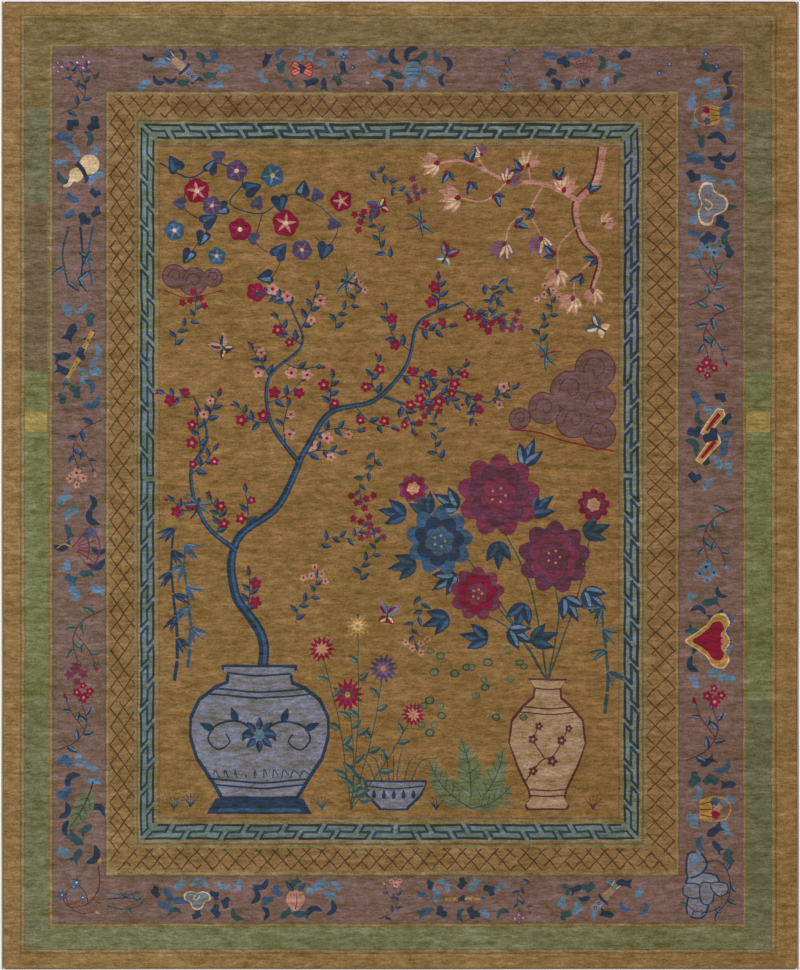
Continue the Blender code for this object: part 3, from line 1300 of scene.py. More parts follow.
@dataclass(frozen=True)
class GardenField:
    """The field: a garden of the carpet's own, with a plum tree and peonies in porcelain."""

    plan: Plan
    limbs: tuple[Branch, ...] = (
        Branch(
            ((-430, -640), (-420, -470), (-505, -330), (-500, -170), (-370, -60), (-300, 90)),
            34, 20, 3, 120, 3,
        ),
        Branch(((-300, 90), (-215, 220), (-80, 260), (20, 370), (60, 500), (190, 560)), 20, 7, 9, 130, 5),
        Branch(((-500, -200), (-600, -110), (-640, 30), (-590, 150), (-630, 270)), 16, 6, 6, 96, 8),
        Branch(((-310, 70), (-395, 190), (-400, 330), (-300, 430), (-330, 540)), 15, 6, 8, 120, 13),
        Branch(((-60, 275), (60, 240), (150, 290), (270, 250)), 10, 5, 6, 90, 21),
    )

    def draw(self, sheet: Cartoon) -> None:
        """Fill the field and draw its plants, porcelain, clouds and small creatures.

        Args:
            sheet: the drawing to add to.
        """
        sheet.add(self.plan.rect(self.plan.field_start).corners(), Dye.FIELD_GOLD)
        pen = Pen(sheet)
        self.clouds(pen)
        self.vine(pen)
        self.magnolias(pen)
        for limb in self.limbs:
            self.grow(pen, limb)
        self.peonies(pen)
        self.porcelain(pen)
        self.low_plants(pen)
        self.sprays(pen)
        self.creatures(pen)

    def clouds(self, pen: Pen) -> None:
        """A mauve bank of cloud at the right edge and a small one at the left.

        Args:
            pen: draws on the carpet's plan.
        """
        bank = (
            (596, 352, 60), (520, 290, 58), (600, 250, 56), (440, 236, 46), (530, 196, 50), (608, 160, 48),
            (365, 205, 30),
        )
        cloud_bank(pen, bank, Dye.HILL_MAUVE, Dye.PLUM)
        pen.ink([(335, 172), (430, 160), (520, 130), (655, 104)], 4.5, Dye.CRIMSON, 4.5)
        cloud_bank(pen, ((-690, 640, 34), (-632, 622, 40), (-572, 634, 26)), Dye.HILL_MAUVE, Dye.PLUM)
        pen.ink([(-720, 596), (-640, 572), (-540, 596)], 3.6, Dye.CRIMSON, 3.0)

    def vine(self, pen: Pen) -> None:
        """A looping vine of trumpet flowers from the upper left.

        Args:
            pen: draws on the carpet's plan.
        """
        main = [
            (-734, 985), (-640, 940), (-560, 985), (-480, 930), (-520, 860), (-420, 830), (-330, 890),
            (-240, 850),
        ]
        pen.ink(main, 5.0, Dye.NAVY, 3.2)
        pen.ink([(-640, 940), (-660, 850), (-590, 790), (-640, 710)], 3.6, Dye.MAROON, 2.8)
        pen.ink([(-420, 830), (-440, 740), (-370, 690), (-400, 610), (-350, 590)], 3.6, Dye.MAROON, 2.8)
        pen.ink([(-240, 850), (-190, 790), (-220, 730), (-260, 760)], 3.2, Dye.NAVY, 2.6)
        leaves = (
            (-680, 965, 120), (-585, 960, 60), (-545, 1000, 150), (-470, 900, 20), (-530, 850, 200),
            (-440, 850, 70), (-370, 880, 280), (-300, 890, 80), (-660, 860, 170), (-600, 800, 30),
            (-600, 770, 250), (-440, 750, 150), (-380, 700, 50), (-395, 640, 190), (-215, 800, 350),
            (-225, 735, 250), (-640, 715, 240), (-250, 875, 110),
        )
        for number, (x, y, turn) in enumerate(leaves):
            light = (Dye.BLUE, Dye.SKY, Dye.BLUE)[number % 3]
            heart_leaf(
                pen.at(x, y, turn), 50 - 6 * (number % 3),
                (Dye.NAVY, Dye.NAVY, Dye.PURPLE)[number % 3], light,
            )
        flowers = (
            (-620, 900, 40, *RED), (-500, 960, 34, *VIOLET),
            (-390, 945, 36, *AZURE), (-350, 800, 42, *RED),
            (-575, 855, 30, *VIOLET), (-690, 780, 32, *AZURE),
            (-490, 780, 36, *WINE), (-300, 720, 32, *VIOLET),
            (-180, 870, 34, *RED), (-440, 590, 30, *WINE),
            (-560, 700, 28, *AZURE),
        )
        for x, y, radius, dye, light in flowers:
            bindweed(pen.at(x, y, x), radius, dye, light)

    def magnolias(self, pen: Pen) -> None:
        """A pale magnolia bough with cream and pink flowers from the upper right.

        Args:
            pen: draws on the carpet's plan.
        """
        route = [(620, 1034), (600, 930), (540, 860), (555, 760), (610, 690), (590, 600)]
        pen.ink([(x - 5, y) for x, y in route], 26, Dye.MAROON, 12)
        pen.ink(route, 22, Dye.PINK, 9)
        pen.ink([(545, 870), (440, 920), (330, 930), (200, 990), (120, 985)], 15, Dye.PINK, 6)
        twigs = (
            [(440, 920), (400, 840), (430, 760)], [(330, 930), (260, 870), (180, 880)],
            [(550, 800), (490, 740), (480, 660)], [(270, 955), (240, 1000), (250, 1020)],
            [(600, 700), (540, 640), (530, 580)], [(400, 925), (390, 980)],
            [(410, 850), (340, 800), (320, 740)],
        )
        for twig in twigs:
            pen.ink(twig, 6, Dye.PINK, 4)
        flowers = (
            (430, 755, 265, 62), (178, 880, 190, 66), (480, 655, 270, 58), (250, 1010, 120, 40),
            (528, 575, 250, 60), (390, 975, 80, 52), (318, 738, 250, 60), (115, 985, 190, 60),
            (588, 596, 280, 52), (330, 925, 60, 56), (620, 800, 30, 44), (500, 900, 75, 60),
        )
        for number, (x, y, turn, size) in enumerate(flowers):
            petal = Dye.PINK if number % 3 else Dye.LILAC
            magnolia(pen.at(x, y, turn), size, petal, Dye.CRIMSON if number % 2 else Dye.MAGENTA)
        for x, y, turn in (
            (480, 935, 60), (370, 960, 120), (220, 930, 250), (575, 900, 20), (600, 690, 170),
            (410, 830, 160), (350, 800, 340), (560, 640, 200), (210, 990, 60), (470, 700, 130),
            (150, 960, 240), (290, 890, 290),
        ):
            pen.leaf(x, y, turn, 46, 20, Dye.NAVY, Dye.SKY)
            pen.leaf(x, y, turn + 55, 34, 16, Dye.NAVY, Dye.BLUE)
            pen.leaf(x, y, turn - 50, 20, 11, Dye.CRIMSON)

    def grow(self, pen: Pen, limb: Branch) -> None:
        """One limb of the plum tree: navy, with twigs, two-tone leaves and crimson and pink flowers.

        Args:
            pen: draws on the carpet's plan.
            limb: the limb.
        """
        chance = random.Random(limb.seed)
        path = pen.ink(limb.route, limb.width, Dye.NAVY, limb.tip, 7)
        pen.ink(np.array(limb.route) + (limb.width * 0.1, 0), limb.width * 0.34, Dye.BLUE, limb.tip * 0.3, 7)
        ahead = headings(path)
        for twig in range(limb.twigs):
            place = int((twig + 1) / limb.twigs * (len(path) - 1))
            heading = bearing(ahead[place])
            side = 1.0 if twig % 2 else -1.0
            own = pen.at(*path[place], heading + side * chance.uniform(35, 65))
            length = limb.twig_length * chance.uniform(0.7, 1.15)
            bow = chance.uniform(-24, 24)
            stem = sprig(
                own, [(0, 0), (length * 0.5, bow), (length, 0)],
                chance.randint(3, 5), (38, 19), stem_width=3.4,
            )
            dye, heart = chance.choice((RED, WINE, (Dye.PINK, Dye.CRIMSON)))
            for share in (0.35, 0.8):
                spot = stem[int(share * (len(stem) - 1))]
                shift = chance.uniform(14, 24) * chance.choice((-1, 1))
                blossom(
                    own.at(spot[0], spot[1] + shift, chance.uniform(0, 72)), chance.uniform(14, 21),
                    dye, heart,
                )
            own.leaf(stem[-1][0] + 18, stem[-1][1], 20, 15, 9, Dye.CRIMSON)

    def peonies(self, pen: Pen) -> None:
        """A peony bush that stands in the tall vase, in plum, magenta and blue.

        Args:
            pen: draws on the carpet's plan.
        """
        foot = (450, -600)
        heads = (
            (300, -30, 128, (Dye.MAGENTA, Dye.PLUM, Dye.MAGENTA)),
            (120, -170, 104, (Dye.BLUE, Dye.NAVY, Dye.BLUE)),
            (470, -220, 112, (Dye.PLUM, Dye.MAGENTA, Dye.PLUM)),
            (235, -330, 84, (Dye.MAGENTA, *WINE)),
            (40, -10, 46, (Dye.MAGENTA, *RED)),
            (590, -60, 50, (Dye.CRIMSON, Dye.MAGENTA, Dye.PINK)),
        )
        for x, y, radius, _ in heads:
            middle = ((foot[0] + x) / 2 + 24, (foot[1] + y) / 2)
            pen.ink([foot, middle, (x, y - radius * 0.6)], 6.0, Dye.DEEP_GREEN, 3.8)
        sprays = (
            (180, -70, 150), (400, -90, 40), (50, -240, 190), (170, -270, 215), (380, -360, 250),
            (560, -150, 20), (330, -440, 330), (150, -400, 200), (90, -90, 120), (500, -340, 300),
            (270, -470, 170), (400, -480, 20), (560, -320, 320), (20, -90, 170), (300, -170, 270),
            (380, 60, 70),
        )
        for number, (x, y, turn) in enumerate(sprays):
            own = pen.at(x, y, turn)
            light = (Dye.SKY, Dye.BLUE, Dye.TEAL)[number % 3]
            for fan, length in ((0, 92), (32, 74), (-32, 74)):
                own.leaf(0, 0, fan, length, 34, Dye.NAVY, light)
        for x, y, radius, dyes in heads:
            peony(pen.at(x, y), radius, dyes)

    def porcelain(self, pen: Pen) -> None:
        """A round grey-blue jar at the lower left and a tall rose-tan vase at the lower right.

        Args:
            pen: draws on the carpet's plan.
        """
        ground = self.plan.rect(self.plan.field_start).bottom + 22
        jar = [
            (120, 0), (128, 14), (150, 52), (196, 118), (216, 190), (214, 250), (188, 308), (140, 346),
            (104, 360), (100, 386), (116, 396), (116, 410),
        ]
        pen.fill(
            [(-590, ground - 12), (-270, ground - 12), (-296, ground + 36), (-564, ground + 36)],
            Dye.NAVY,
        )
        pen.fill([(-560, ground - 4), (-300, ground - 4), (-310, ground + 6), (-550, ground + 6)], Dye.BLUE)
        own = pen.at(-430, ground + 34)
        vessel(
            own, jar, Dye.ROCK_GREY, Dye.NAVY, 8.5,
            ((44, 138), (62, 150), (322, 166), (338, 146), (384, 98)),
        )
        for side in (0.0, 180.0):
            scroll(own.at(0, 196, side, 1.5, side > 0), Dye.NAVY, 5.0)
        for angle in range(0, 360, 45):
            own.at(0, 196, angle).leaf(14, 0, 0, 42, 22, Dye.NAVY, Dye.BLUE)
        own.disc(0, 196, 17, Dye.SKY, 12)
        for x in range(-135, 136, 30):
            own.ink([(x * 0.9, 64), (x, 92 - abs(x) * 0.04), (x * 1.1 + 8, 72)], 3.6, Dye.NAVY, 3.0)
        vase = [
            (62, 0), (70, 12), (56, 34), (60, 60), (96, 132), (120, 210), (112, 276), (74, 322), (46, 346),
            (42, 376), (60, 402),
        ]
        own = pen.at(450, ground)
        vessel(
            own, vase, Dye.ROSE_TAN, Dye.MAROON, 6.0,
            ((46, 54), (64, 58), (300, 92), (316, 76), (372, 40)),
        )
        own.ink([(-66, 90), (-20, 150), (20, 170), (60, 240)], 5.0, Dye.MAROON, 3.0)
        own.ink([(-10, 158), (-40, 210), (-30, 250)], 4.0, Dye.MAROON, 3.0)
        for x, y, size in (
            (-44, 120, 15), (14, 150, 17), (44, 214, 15), (-44, 216, 15), (-26, 256, 13), (66, 250, 12),
        ):
            blossom(own.at(x, y), size, Dye.MAROON, Dye.ROSE_TAN)
        bowl = [(44, 0), (50, 8), (84, 40), (100, 78), (104, 92)]
        own = pen.at(-20, ground)
        vessel(own, bowl, Dye.ROCK_GREY, Dye.NAVY, 6.5, ((74, 92),))
        for x in (-60, -30, 0, 30, 60):
            own.leaf(x, 34, 90, 30, 13, Dye.NAVY)
        for x in (-70, -44, -16, 14, 42, 70, 0):
            own.ink([(x * 0.8, 92), (x * 1.2, 150), (x * 1.9, 196 - abs(x) * 0.5)], 3.8, Dye.TEAL, 2.4)

    def low_plants(self, pen: Pen) -> None:
        """Bamboo, plantain, chrysanthemums, grass and moss along the ground.

        Args:
            pen: draws on the carpet's plan.
        """
        for x, y, height, joints, dye, light in (
            (-650, -560, 380, 6, *AZURE),
            (-690, -600, 470, 7, Dye.NAVY, Dye.BLUE),
            (625, -700, 330, 5, Dye.TEAL, Dye.SKY),
        ):
            bamboo(pen.at(x, y), height, joints, dye, light, joints)
        for turn, length, width, bend in (
            (130, 200, 76, 20), (98, 224, 82, -14), (62, 214, 78, -24), (30, 150, 58, -16),
        ):
            plantain(pen.at(215, -988, turn), length, width, bend)
        heads = (
            (-160, -640, 52, *WINE), (-50, -560, 46, *VIOLET),
            (-240, -500, 42, *RED), (-130, -430, 36, Dye.YARN_GOLD, Dye.CREAM),
            (40, -700, 38, *RED),
        )
        for x, y, radius, dye, light in heads:
            route = [(-150, -990), ((x - 150) / 2 + 12, (y - 990) / 2), (x, y)]
            sprig(pen, route, 6, (50, 23), (Dye.TEAL, Dye.LEAF_GREEN), Dye.DEEP_GREEN, 3.6)
            aster(pen.at(x, y), radius, dye, light)
        chance = random.Random(31)
        for _ in range(24):
            x = chance.uniform(60, 380)
            y = chance.uniform(-760, -500)
            pen.disc(x, y, chance.uniform(11, 16), Dye.DEEP_GREEN, 9, 0.85)
            pen.disc(x, y, chance.uniform(8, 11), Dye.LEAF_GREEN, 8, 0.85)
        for x, y, dye in (
            (110, -992, Dye.NAVY), (-240, -992, Dye.TEAL), (330, -992, Dye.LEAF_GREEN),
            (590, -992, Dye.MAROON), (-690, -992, Dye.TEAL), (-640, -985, Dye.NAVY),
        ):
            grass(pen.at(x, y), 7, dye)

    def sprays(self, pen: Pen) -> None:
        """Loose sprays of small flowers that fill the ground.

        Args:
            pen: draws on the carpet's plan.
        """
        rows = (
            (-200, 470, 60, Dye.PINK), (330, 640, 240, Dye.CRIMSON), (-80, 110, 250, Dye.CRIMSON),
            (-250, -190, 20, Dye.CRIMSON), (-120, -300, 70, Dye.MAGENTA), (-20, 690, 120, Dye.CRIMSON),
            (-320, -420, 60, Dye.PINK), (250, 620, 300, Dye.MAGENTA), (-690, 420, 60, Dye.CRIMSON),
            (130, 70, 100, Dye.CRIMSON), (60, -330, 260, Dye.PINK), (-100, 960, 330, Dye.MAGENTA),
            (430, 430, 75, Dye.PINK),
        )
        for x, y, turn, dye in rows:
            own = pen.at(x, y, turn)
            sprig(own, [(0, 0), (50, 16), (104, -6), (150, 12)], 7, (34, 16), stem=Dye.DEEP_GREEN)
            for dx, dy in ((150, 30), (170, 6), (132, 48), (178, 34), (156, -16)):
                blossom(own.at(dx, dy), 12, dye, Dye.MAROON)

    def creatures(self, pen: Pen) -> None:
        """Butterflies and dragonflies between the plants.

        Args:
            pen: draws on the carpet's plan.
        """
        for x, y, turn, wing, spot in (
            (-60, 850, 200, Dye.BLUE, Dye.CRIMSON), (140, 700, 60, Dye.CRIMSON, Dye.SKY),
            (-540, 420, 130, Dye.PINK, Dye.NAVY), (-40, -400, 80, Dye.SKY, Dye.CRIMSON),
            (610, 480, 150, Dye.BLUE, Dye.CREAM),
        ):
            butterfly(pen.at(x, y, turn, 1.15), wing, spot)
        for x, y, turn in ((60, 800, 30), (-160, 620, 160), (450, 400, 200), (-620, -60, 70)):
            dragonfly(pen.at(x, y, turn), Dye.MAGENTA if x > 0 else Dye.NAVY, Dye.TEAL)


@dataclass(frozen=True)
class CarpetDrawing:
    """The whole drawing, in two parts that meet at the inner edge of the mauve band."""

    plan: Plan

    def border(self) -> Cartoon:
        """Everything outside the lattice.

        Returns:
            The drawing.
        """
        plan = self.plan
        sheet = Cartoon(Dye.MARGIN_GOLD)
        plan.guards(
            sheet, plan.margin_end, plan.green_start,
            (0.0, Dye.DARK_GUARD), (0.28, Dye.MARGIN_GOLD), (0.45, Dye.LIGHT_GUARD), (0.8, Dye.DARK_GUARD),
        )
        SideBands(plan).draw(sheet)
        plan.guards(
            sheet, plan.green_end, plan.mauve_start,
            (0.0, Dye.OLIVE), (0.36, Dye.LIGHT_GUARD), (0.62, Dye.BROWN_GUARD),
        )
        EmblemBorder(plan).draw(sheet)
        return sheet

    def centre(self) -> Cartoon:
        """The lattice, the fret and the field.

        Returns:
            The drawing.
        """
        plan = self.plan
        sheet = Cartoon(Dye.DARK_GUARD)
        plan.guards(
            sheet, plan.mauve_end, plan.lattice_start,
            (0.26, Dye.LIGHT_GUARD), (0.62, Dye.LATTICE_GOLD),
        )
        Lattice(plan).draw(sheet)
        plan.guards(
            sheet, plan.lattice_end, plan.fret_start,
            (0.0, Dye.GREEN_GUARD), (0.34, Dye.BROWN_GUARD), (0.56, Dye.LIGHT_GUARD),
        )
        Fret(plan).draw(sheet)
        plan.guards(
            sheet, plan.fret_end, plan.field_start,
            (0.15, Dye.GREEN_GUARD), (0.6, Dye.LATTICE_GOLD), (0.8, Dye.BROWN_GUARD),
        )
        GardenField(plan).draw(sheet)
        return sheet


@dataclass
class Cloth:
    """A triangulated part of the drawing: points in millimetres and one dye for each triangle."""

    points: Array
    triangles: Array
    shades: Array

    def loops(self) -> list[Array]:
        """The closed edges of the cloth as rows of point numbers, the longest loop first.

        Returns:
            The loops.
        """
        count = len(self.points)
        starts = self.triangles.reshape(-1)
        ends = np.roll(self.triangles, -1, axis=1).reshape(-1)
        single = ~np.isin(starts * count + ends, ends * count + starts)
        following = dict(zip(starts[single].tolist(), ends[single].tolist()))
        found = []
        while following:
            start, here = following.popitem()
            loop = [start]
            while here != start:
                loop.append(here)
                here = following.pop(here)
            found.append(np.array(loop))
        return sorted(found, key=len, reverse=True)

    def edge_shades(self, loop: Array) -> Array:
        """The dye next to each place of a loop.

        Args:
            loop: the loop, as point numbers.

        Returns:
            The dyes in linear light, one row each.
        """
        shades = np.zeros((len(self.points), 3))
        shades[self.triangles.reshape(-1)] = np.repeat(self.shades, 3, axis=0)
        return shades[loop]


def covers(outline: Array, places: Array) -> Array:
    """Whether each place lies inside a closed outline.

    Args:
        outline: the outline.
        places: the places.

    Returns:
        True for each place inside.
    """
    x, y = places.T
    inside = np.zeros(len(places), bool)
    for (x1, y1), (x2, y2) in zip(outline, np.roll(outline, -1, axis=0)):
        if y1 != y2:
            inside ^= ((y1 > y) != (y2 > y)) & (x < x1 + (y - y1) / (y2 - y1) * (x2 - x1))
    return inside


def ring_edges(count: int, first: int) -> Array:
    """Edges that join numbered points into a ring."""
    steps = np.arange(count)
    return np.stack([steps, np.roll(steps, -1)], axis=1) + first


def kept(plan: Array, triangles: Array, outline: Array, holes: Sequence[Array]) -> tuple[Array, Array]:
    """The triangles inside an outline and outside its holes, anticlockwise, with their middles.

    Args:
        plan: the points.
        triangles: rows of three point numbers.
        outline, holes: what bounds the area.

    Returns:
        The triangles that are kept, and their middles.
    """
    corners = plan[triangles]
    first, second = corners[:, 1] - corners[:, 0], corners[:, 2] - corners[:, 0]
    area = first[:, 0] * second[:, 1] - second[:, 0] * first[:, 1]
    triangles[area < 0] = triangles[area < 0][:, ::-1]
    middles = corners.mean(axis=1)
    keep = covers(outline, middles)
    for hole in holes:
        keep &= ~covers(hole, middles)
    return triangles[keep], middles[keep]


def close_between(outline: Array, *holes: Array) -> Array:
    """Triangles that fill an outline round its holes, without new points.

    Args:
        outline: the outline.
        holes: outlines inside it that are left open.

    Returns:
        Rows of three point numbers.
    """
    plan = np.vstack([outline, *holes])
    edges = [ring_edges(len(outline), 0)] + [ring_edges(len(hole), len(outline)) for hole in holes]
    places = [Vector(place) for place in plan.tolist()]
    found = delaunay_2d_cdt(places, np.vstack(edges).tolist(), [], 0, 1e-4, True)
    origins = np.array([rows[0] if rows else 0 for rows in found[3]])
    return kept(plan, origins[np.array(found[2])], outline, holes)[0]


@dataclass(frozen=True)
class Loom:
    """Turns a drawing into coloured cloth."""

    grid: float = 26.0
    longest: float = 22.0
    tolerance: float = 0.02

    def weave(
        self, sheet: Cartoon, outer: Array, holes: Sequence[Array] = (), cuts: Sequence[Points] = (),
    ) -> Cloth:
        """Triangulate a zone so that every dye has clean edges.

        Args:
            sheet: the drawing.
            outer: the zone's outline.
            holes: outlines of what is left out of its middle.
            cuts: lines that no triangle may cross.

        Returns:
            The cloth.
        """
        low, high = outer.min(axis=0), outer.max(axis=0)
        outlines = [outer, *holes]
        outlines += [split_edges(np.clip(f.outline, low, high), self.longest) for f in sheet.figures]
        edges = []
        total = 0
        for outline in outlines:
            edges.append(ring_edges(len(outline), total))
            total += len(outline)
        for cut in cuts:
            outlines.append(np.asarray(cut, float))
            edges.append(np.array([[total, total + 1]]))
            total += 2
        across, along = (np.arange(low[axis] + self.grid / 2, high[axis], self.grid) for axis in (0, 1))
        outlines.append(np.stack(np.meshgrid(across, along), axis=-1).reshape(-1, 2))
        places = [Vector(place) for place in np.vstack(outlines).tolist()]
        joined = np.vstack(edges)
        joined = joined[joined[:, 0] != joined[:, 1]]
        found = delaunay_2d_cdt(places, joined.tolist(), [], 0, self.tolerance, False)
        plan = np.array([tuple(place) for place in found[0]])
        triangles, middles = kept(plan, np.array(found[2]), outer, holes)
        used, compact = np.unique(triangles, return_inverse=True)
        return Cloth(plan[used], compact.reshape(-1, 3), self.dyes(sheet, middles))

    def dyes(self, sheet: Cartoon, middles: Array) -> Array:
        """The linear shade of the topmost figure at each place.

        Args:
            sheet: the drawing.
            middles: the places.

        Returns:
            The shades, one row each.
        """
        order = np.argsort(middles[:, 0])
        sorted_x = middles[order, 0]
        shades = np.tile(sheet.ground.linear(), (len(middles), 1))
        colours = {dye: dye.linear() for dye in Dye}
        for figure in sheet.figures:
            low, high = figure.outline.min(axis=0), figure.outline.max(axis=0)
            near = order[np.searchsorted(sorted_x, low[0]) : np.searchsorted(sorted_x, high[0])]
            near = near[(middles[near, 1] > low[1]) & (middles[near, 1] < high[1])]
            if len(near):
                shades[near[covers(figure.outline, middles[near])]] = colours[figure.dye]
        return shades


@dataclass(frozen=True)
class Lie:
    """How the carpet lies on the floor, in metres: its edges wander and its pile is not quite level."""

    width: float = 2.438
    length: float = 2.959
    cord_width: float = 0.0060
    cord_height: float = 0.0056
    clearance: float = 0.0003
    edge_wander: float = 0.0008
    side_waves: int = 3
    end_waves: int = 2
    side_phases: tuple[float, float] = (0.0, 0.9)
    end_phases: tuple[float, float] = (0.0, 2.1)
    pile_relief: float = 0.0005
    relief_across: float = 0.81
    relief_along: float = 1.07
    relief_shares: tuple[float, float] = (0.6, 0.4)
    relief_bend: float = 0.7
    relief_slant: float = 0.4
    pick_wander: float = 1.1
    still_rim: float = 12.0
    waking_run: float = 50.0
    # height and length of the lines' short wave and of its bow, then height and both lengths of the long wave
    waver_across: tuple[float, ...] = (0.6, 17.0, 1.3, 150.0, 0.5, 43.0, 190.0)
    waver_along: tuple[float, ...] = (0.6, 21.0, 1.1, 130.0, 0.7, 67.0, -210.0)

    def wander(self, turn: Array, phases: tuple[float, float], side: Array) -> Array:
        """How far an edge draws in from its widest line."""
        return self.edge_wander * 0.5 * (1.0 - np.cos(2 * math.pi * turn + np.where(side < 0, *phases)))

    def side_reach(self, y: Array, side: Array) -> Array:
        """Distance of the cords' outer faces from the middle line; side is negative on the left."""
        return self.width / 2 - self.wander(self.side_waves * y / self.length, self.side_phases, side)

    def end_reach(self, x: Array, end: Array) -> Array:
        """Distance of an end from the middle of the length; end is negative at the near end."""
        return self.length / 2 - self.wander(self.end_waves * x / self.width, self.end_phases, end)

    def relief(self, x: Array, y: Array) -> Array:
        """Height of the pile above or below its mean.

        Args:
            x, y: places on the carpet, in metres.

        Returns:
            The heights, in metres.
        """
        across = 2 * math.pi * x / self.relief_across
        along = 2 * math.pi * y / self.relief_along
        main, cross = self.relief_shares
        roll = main * np.sin(across + self.relief_bend * np.sin(along))
        return self.pile_relief * (roll + cross * np.cos(along - self.relief_slant * across))

    @staticmethod
    def waver(run: Array, beside: Array, waves: tuple[float, ...]) -> Array:
        """How far the weaver's lines stray, before they are scaled.

        Args:
            run, beside: places along the lines and across them, in millimetres.
            waves: heights and lengths of the waves.

        Returns:
            The distances.
        """
        short, short_length, bow, bow_length, slow, slow_length, slant_length = waves
        wave = short * np.sin(run / short_length + bow * np.sin(beside / bow_length))
        return wave + slow * np.sin(run / slow_length + beside / slant_length)

    def settle(self, plan: Array, height: Any, rolling: float = 0.0) -> Array:
        """Points in space, in metres, over places of the drawing.

        The weaver's lines waver by about a third of a knot to either side and keep still at the rim.

        Args:
            plan: the places, in millimetres.
            height: their height above the floor, in millimetres.
            rolling: how much of the pile's relief they take part in.

        Returns:
            The points, one row each.
        """
        x, y = plan.T
        inset = np.minimum(self.width * HALF_MM - np.abs(x), self.length * HALF_MM - np.abs(y))
        fade = self.pick_wander * np.clip((inset - self.still_rim) / self.waking_run, 0.0, 1.0)
        stray_x, stray_y = self.waver(y, x, self.waver_across), self.waver(x, y, self.waver_along)
        x = (x + fade * stray_x) * METRES
        y = (y + fade * stray_y) * METRES
        x, y = x / (self.width / 2) * self.side_reach(y, x), y / (self.length / 2) * self.end_reach(x, y)
        return np.stack([x, y, height * METRES + rolling * self.relief(x, y)], axis=1)


# the map runs from 0 to 1 both ways: hidden faces lie in thin rows of a strip at its foot
HIDDEN_STRIP = 0.02
HIDDEN_ROWS = 24
ROW_START, ROW_END = 0.1, 0.9
MAP_EDGE, MAP_RUN = 0.002, 0.996
MAP_FOOT, MAP_TOP = HIDDEN_STRIP + 0.004, 0.998
STRIPS_RUN, STRIPS_FILLED = 0.972, 0.968
# colour factors of red, green and blue that change across the carpet, and how far over it they change, in
# metres
DRIFT_SPAN = 2.0
DRIFT_REACH = 1.2
DRIFT_LEFT = np.array([1.05, 1.10, 1.08])
DRIFT_RIGHT = np.array([1.00, 0.97, 0.92])
DRIFT_TOP = np.array([0.95, 0.93, 0.95])


def tone_drift(points: Array) -> Array:
    """Colour factors across the carpet: paler and greener on the left, deeper at the far end.

    Args:
        points: places on the carpet, in metres.

    Returns:
        A factor for each place and colour.
    """
    share = np.clip(points[:, :1] / DRIFT_SPAN + 0.5, 0.0, 1.0)
    upper = np.clip(points[:, 1:2] / DRIFT_REACH, 0.0, 1.0)
    return (DRIFT_LEFT + (DRIFT_RIGHT - DRIFT_LEFT) * share) * (1.0 + (DRIFT_TOP - 1.0) * upper)


def shares(plan: Array) -> Array:
    """Places as shares of the way across and along what they cover."""
    low = plan.min(axis=0)
    return (plan - low) / (plan.max(axis=0) - low)


def on_map(share: Array, row: int | None = None) -> Array:
    """Map places for shares of a face: on the open part of the map, or in a thin row of its hidden strip.

    Args:
        share: shares of the way across and along the face.
        row: the hidden row, or none for the open part.

    Returns:
        The map places.
    """
    low, high = MAP_FOOT, MAP_TOP
    if row is not None:
        low, high = (HIDDEN_STRIP * (row + edge) / HIDDEN_ROWS for edge in (ROW_START, ROW_END))
    return np.stack([MAP_EDGE + MAP_RUN * share[..., 0], low + (high - low) * share[..., 1]], axis=-1)


def dull(count: int) -> Array:
    """One cotton-grey shade for a number of hidden faces."""
    return np.tile(Dye.END_WEB.linear(), (count, 1))


def stand(name: str, data: Any) -> bpy.types.Object:
    """Put a mesh, a lamp or a camera into the scene.

    Args:
        name: the object's name.
        data: what it shows.

    Returns:
        The object.
    """
    thing = bpy.data.objects.new(name, data)
    bpy.context.scene.collection.objects.link(thing)
    return thing


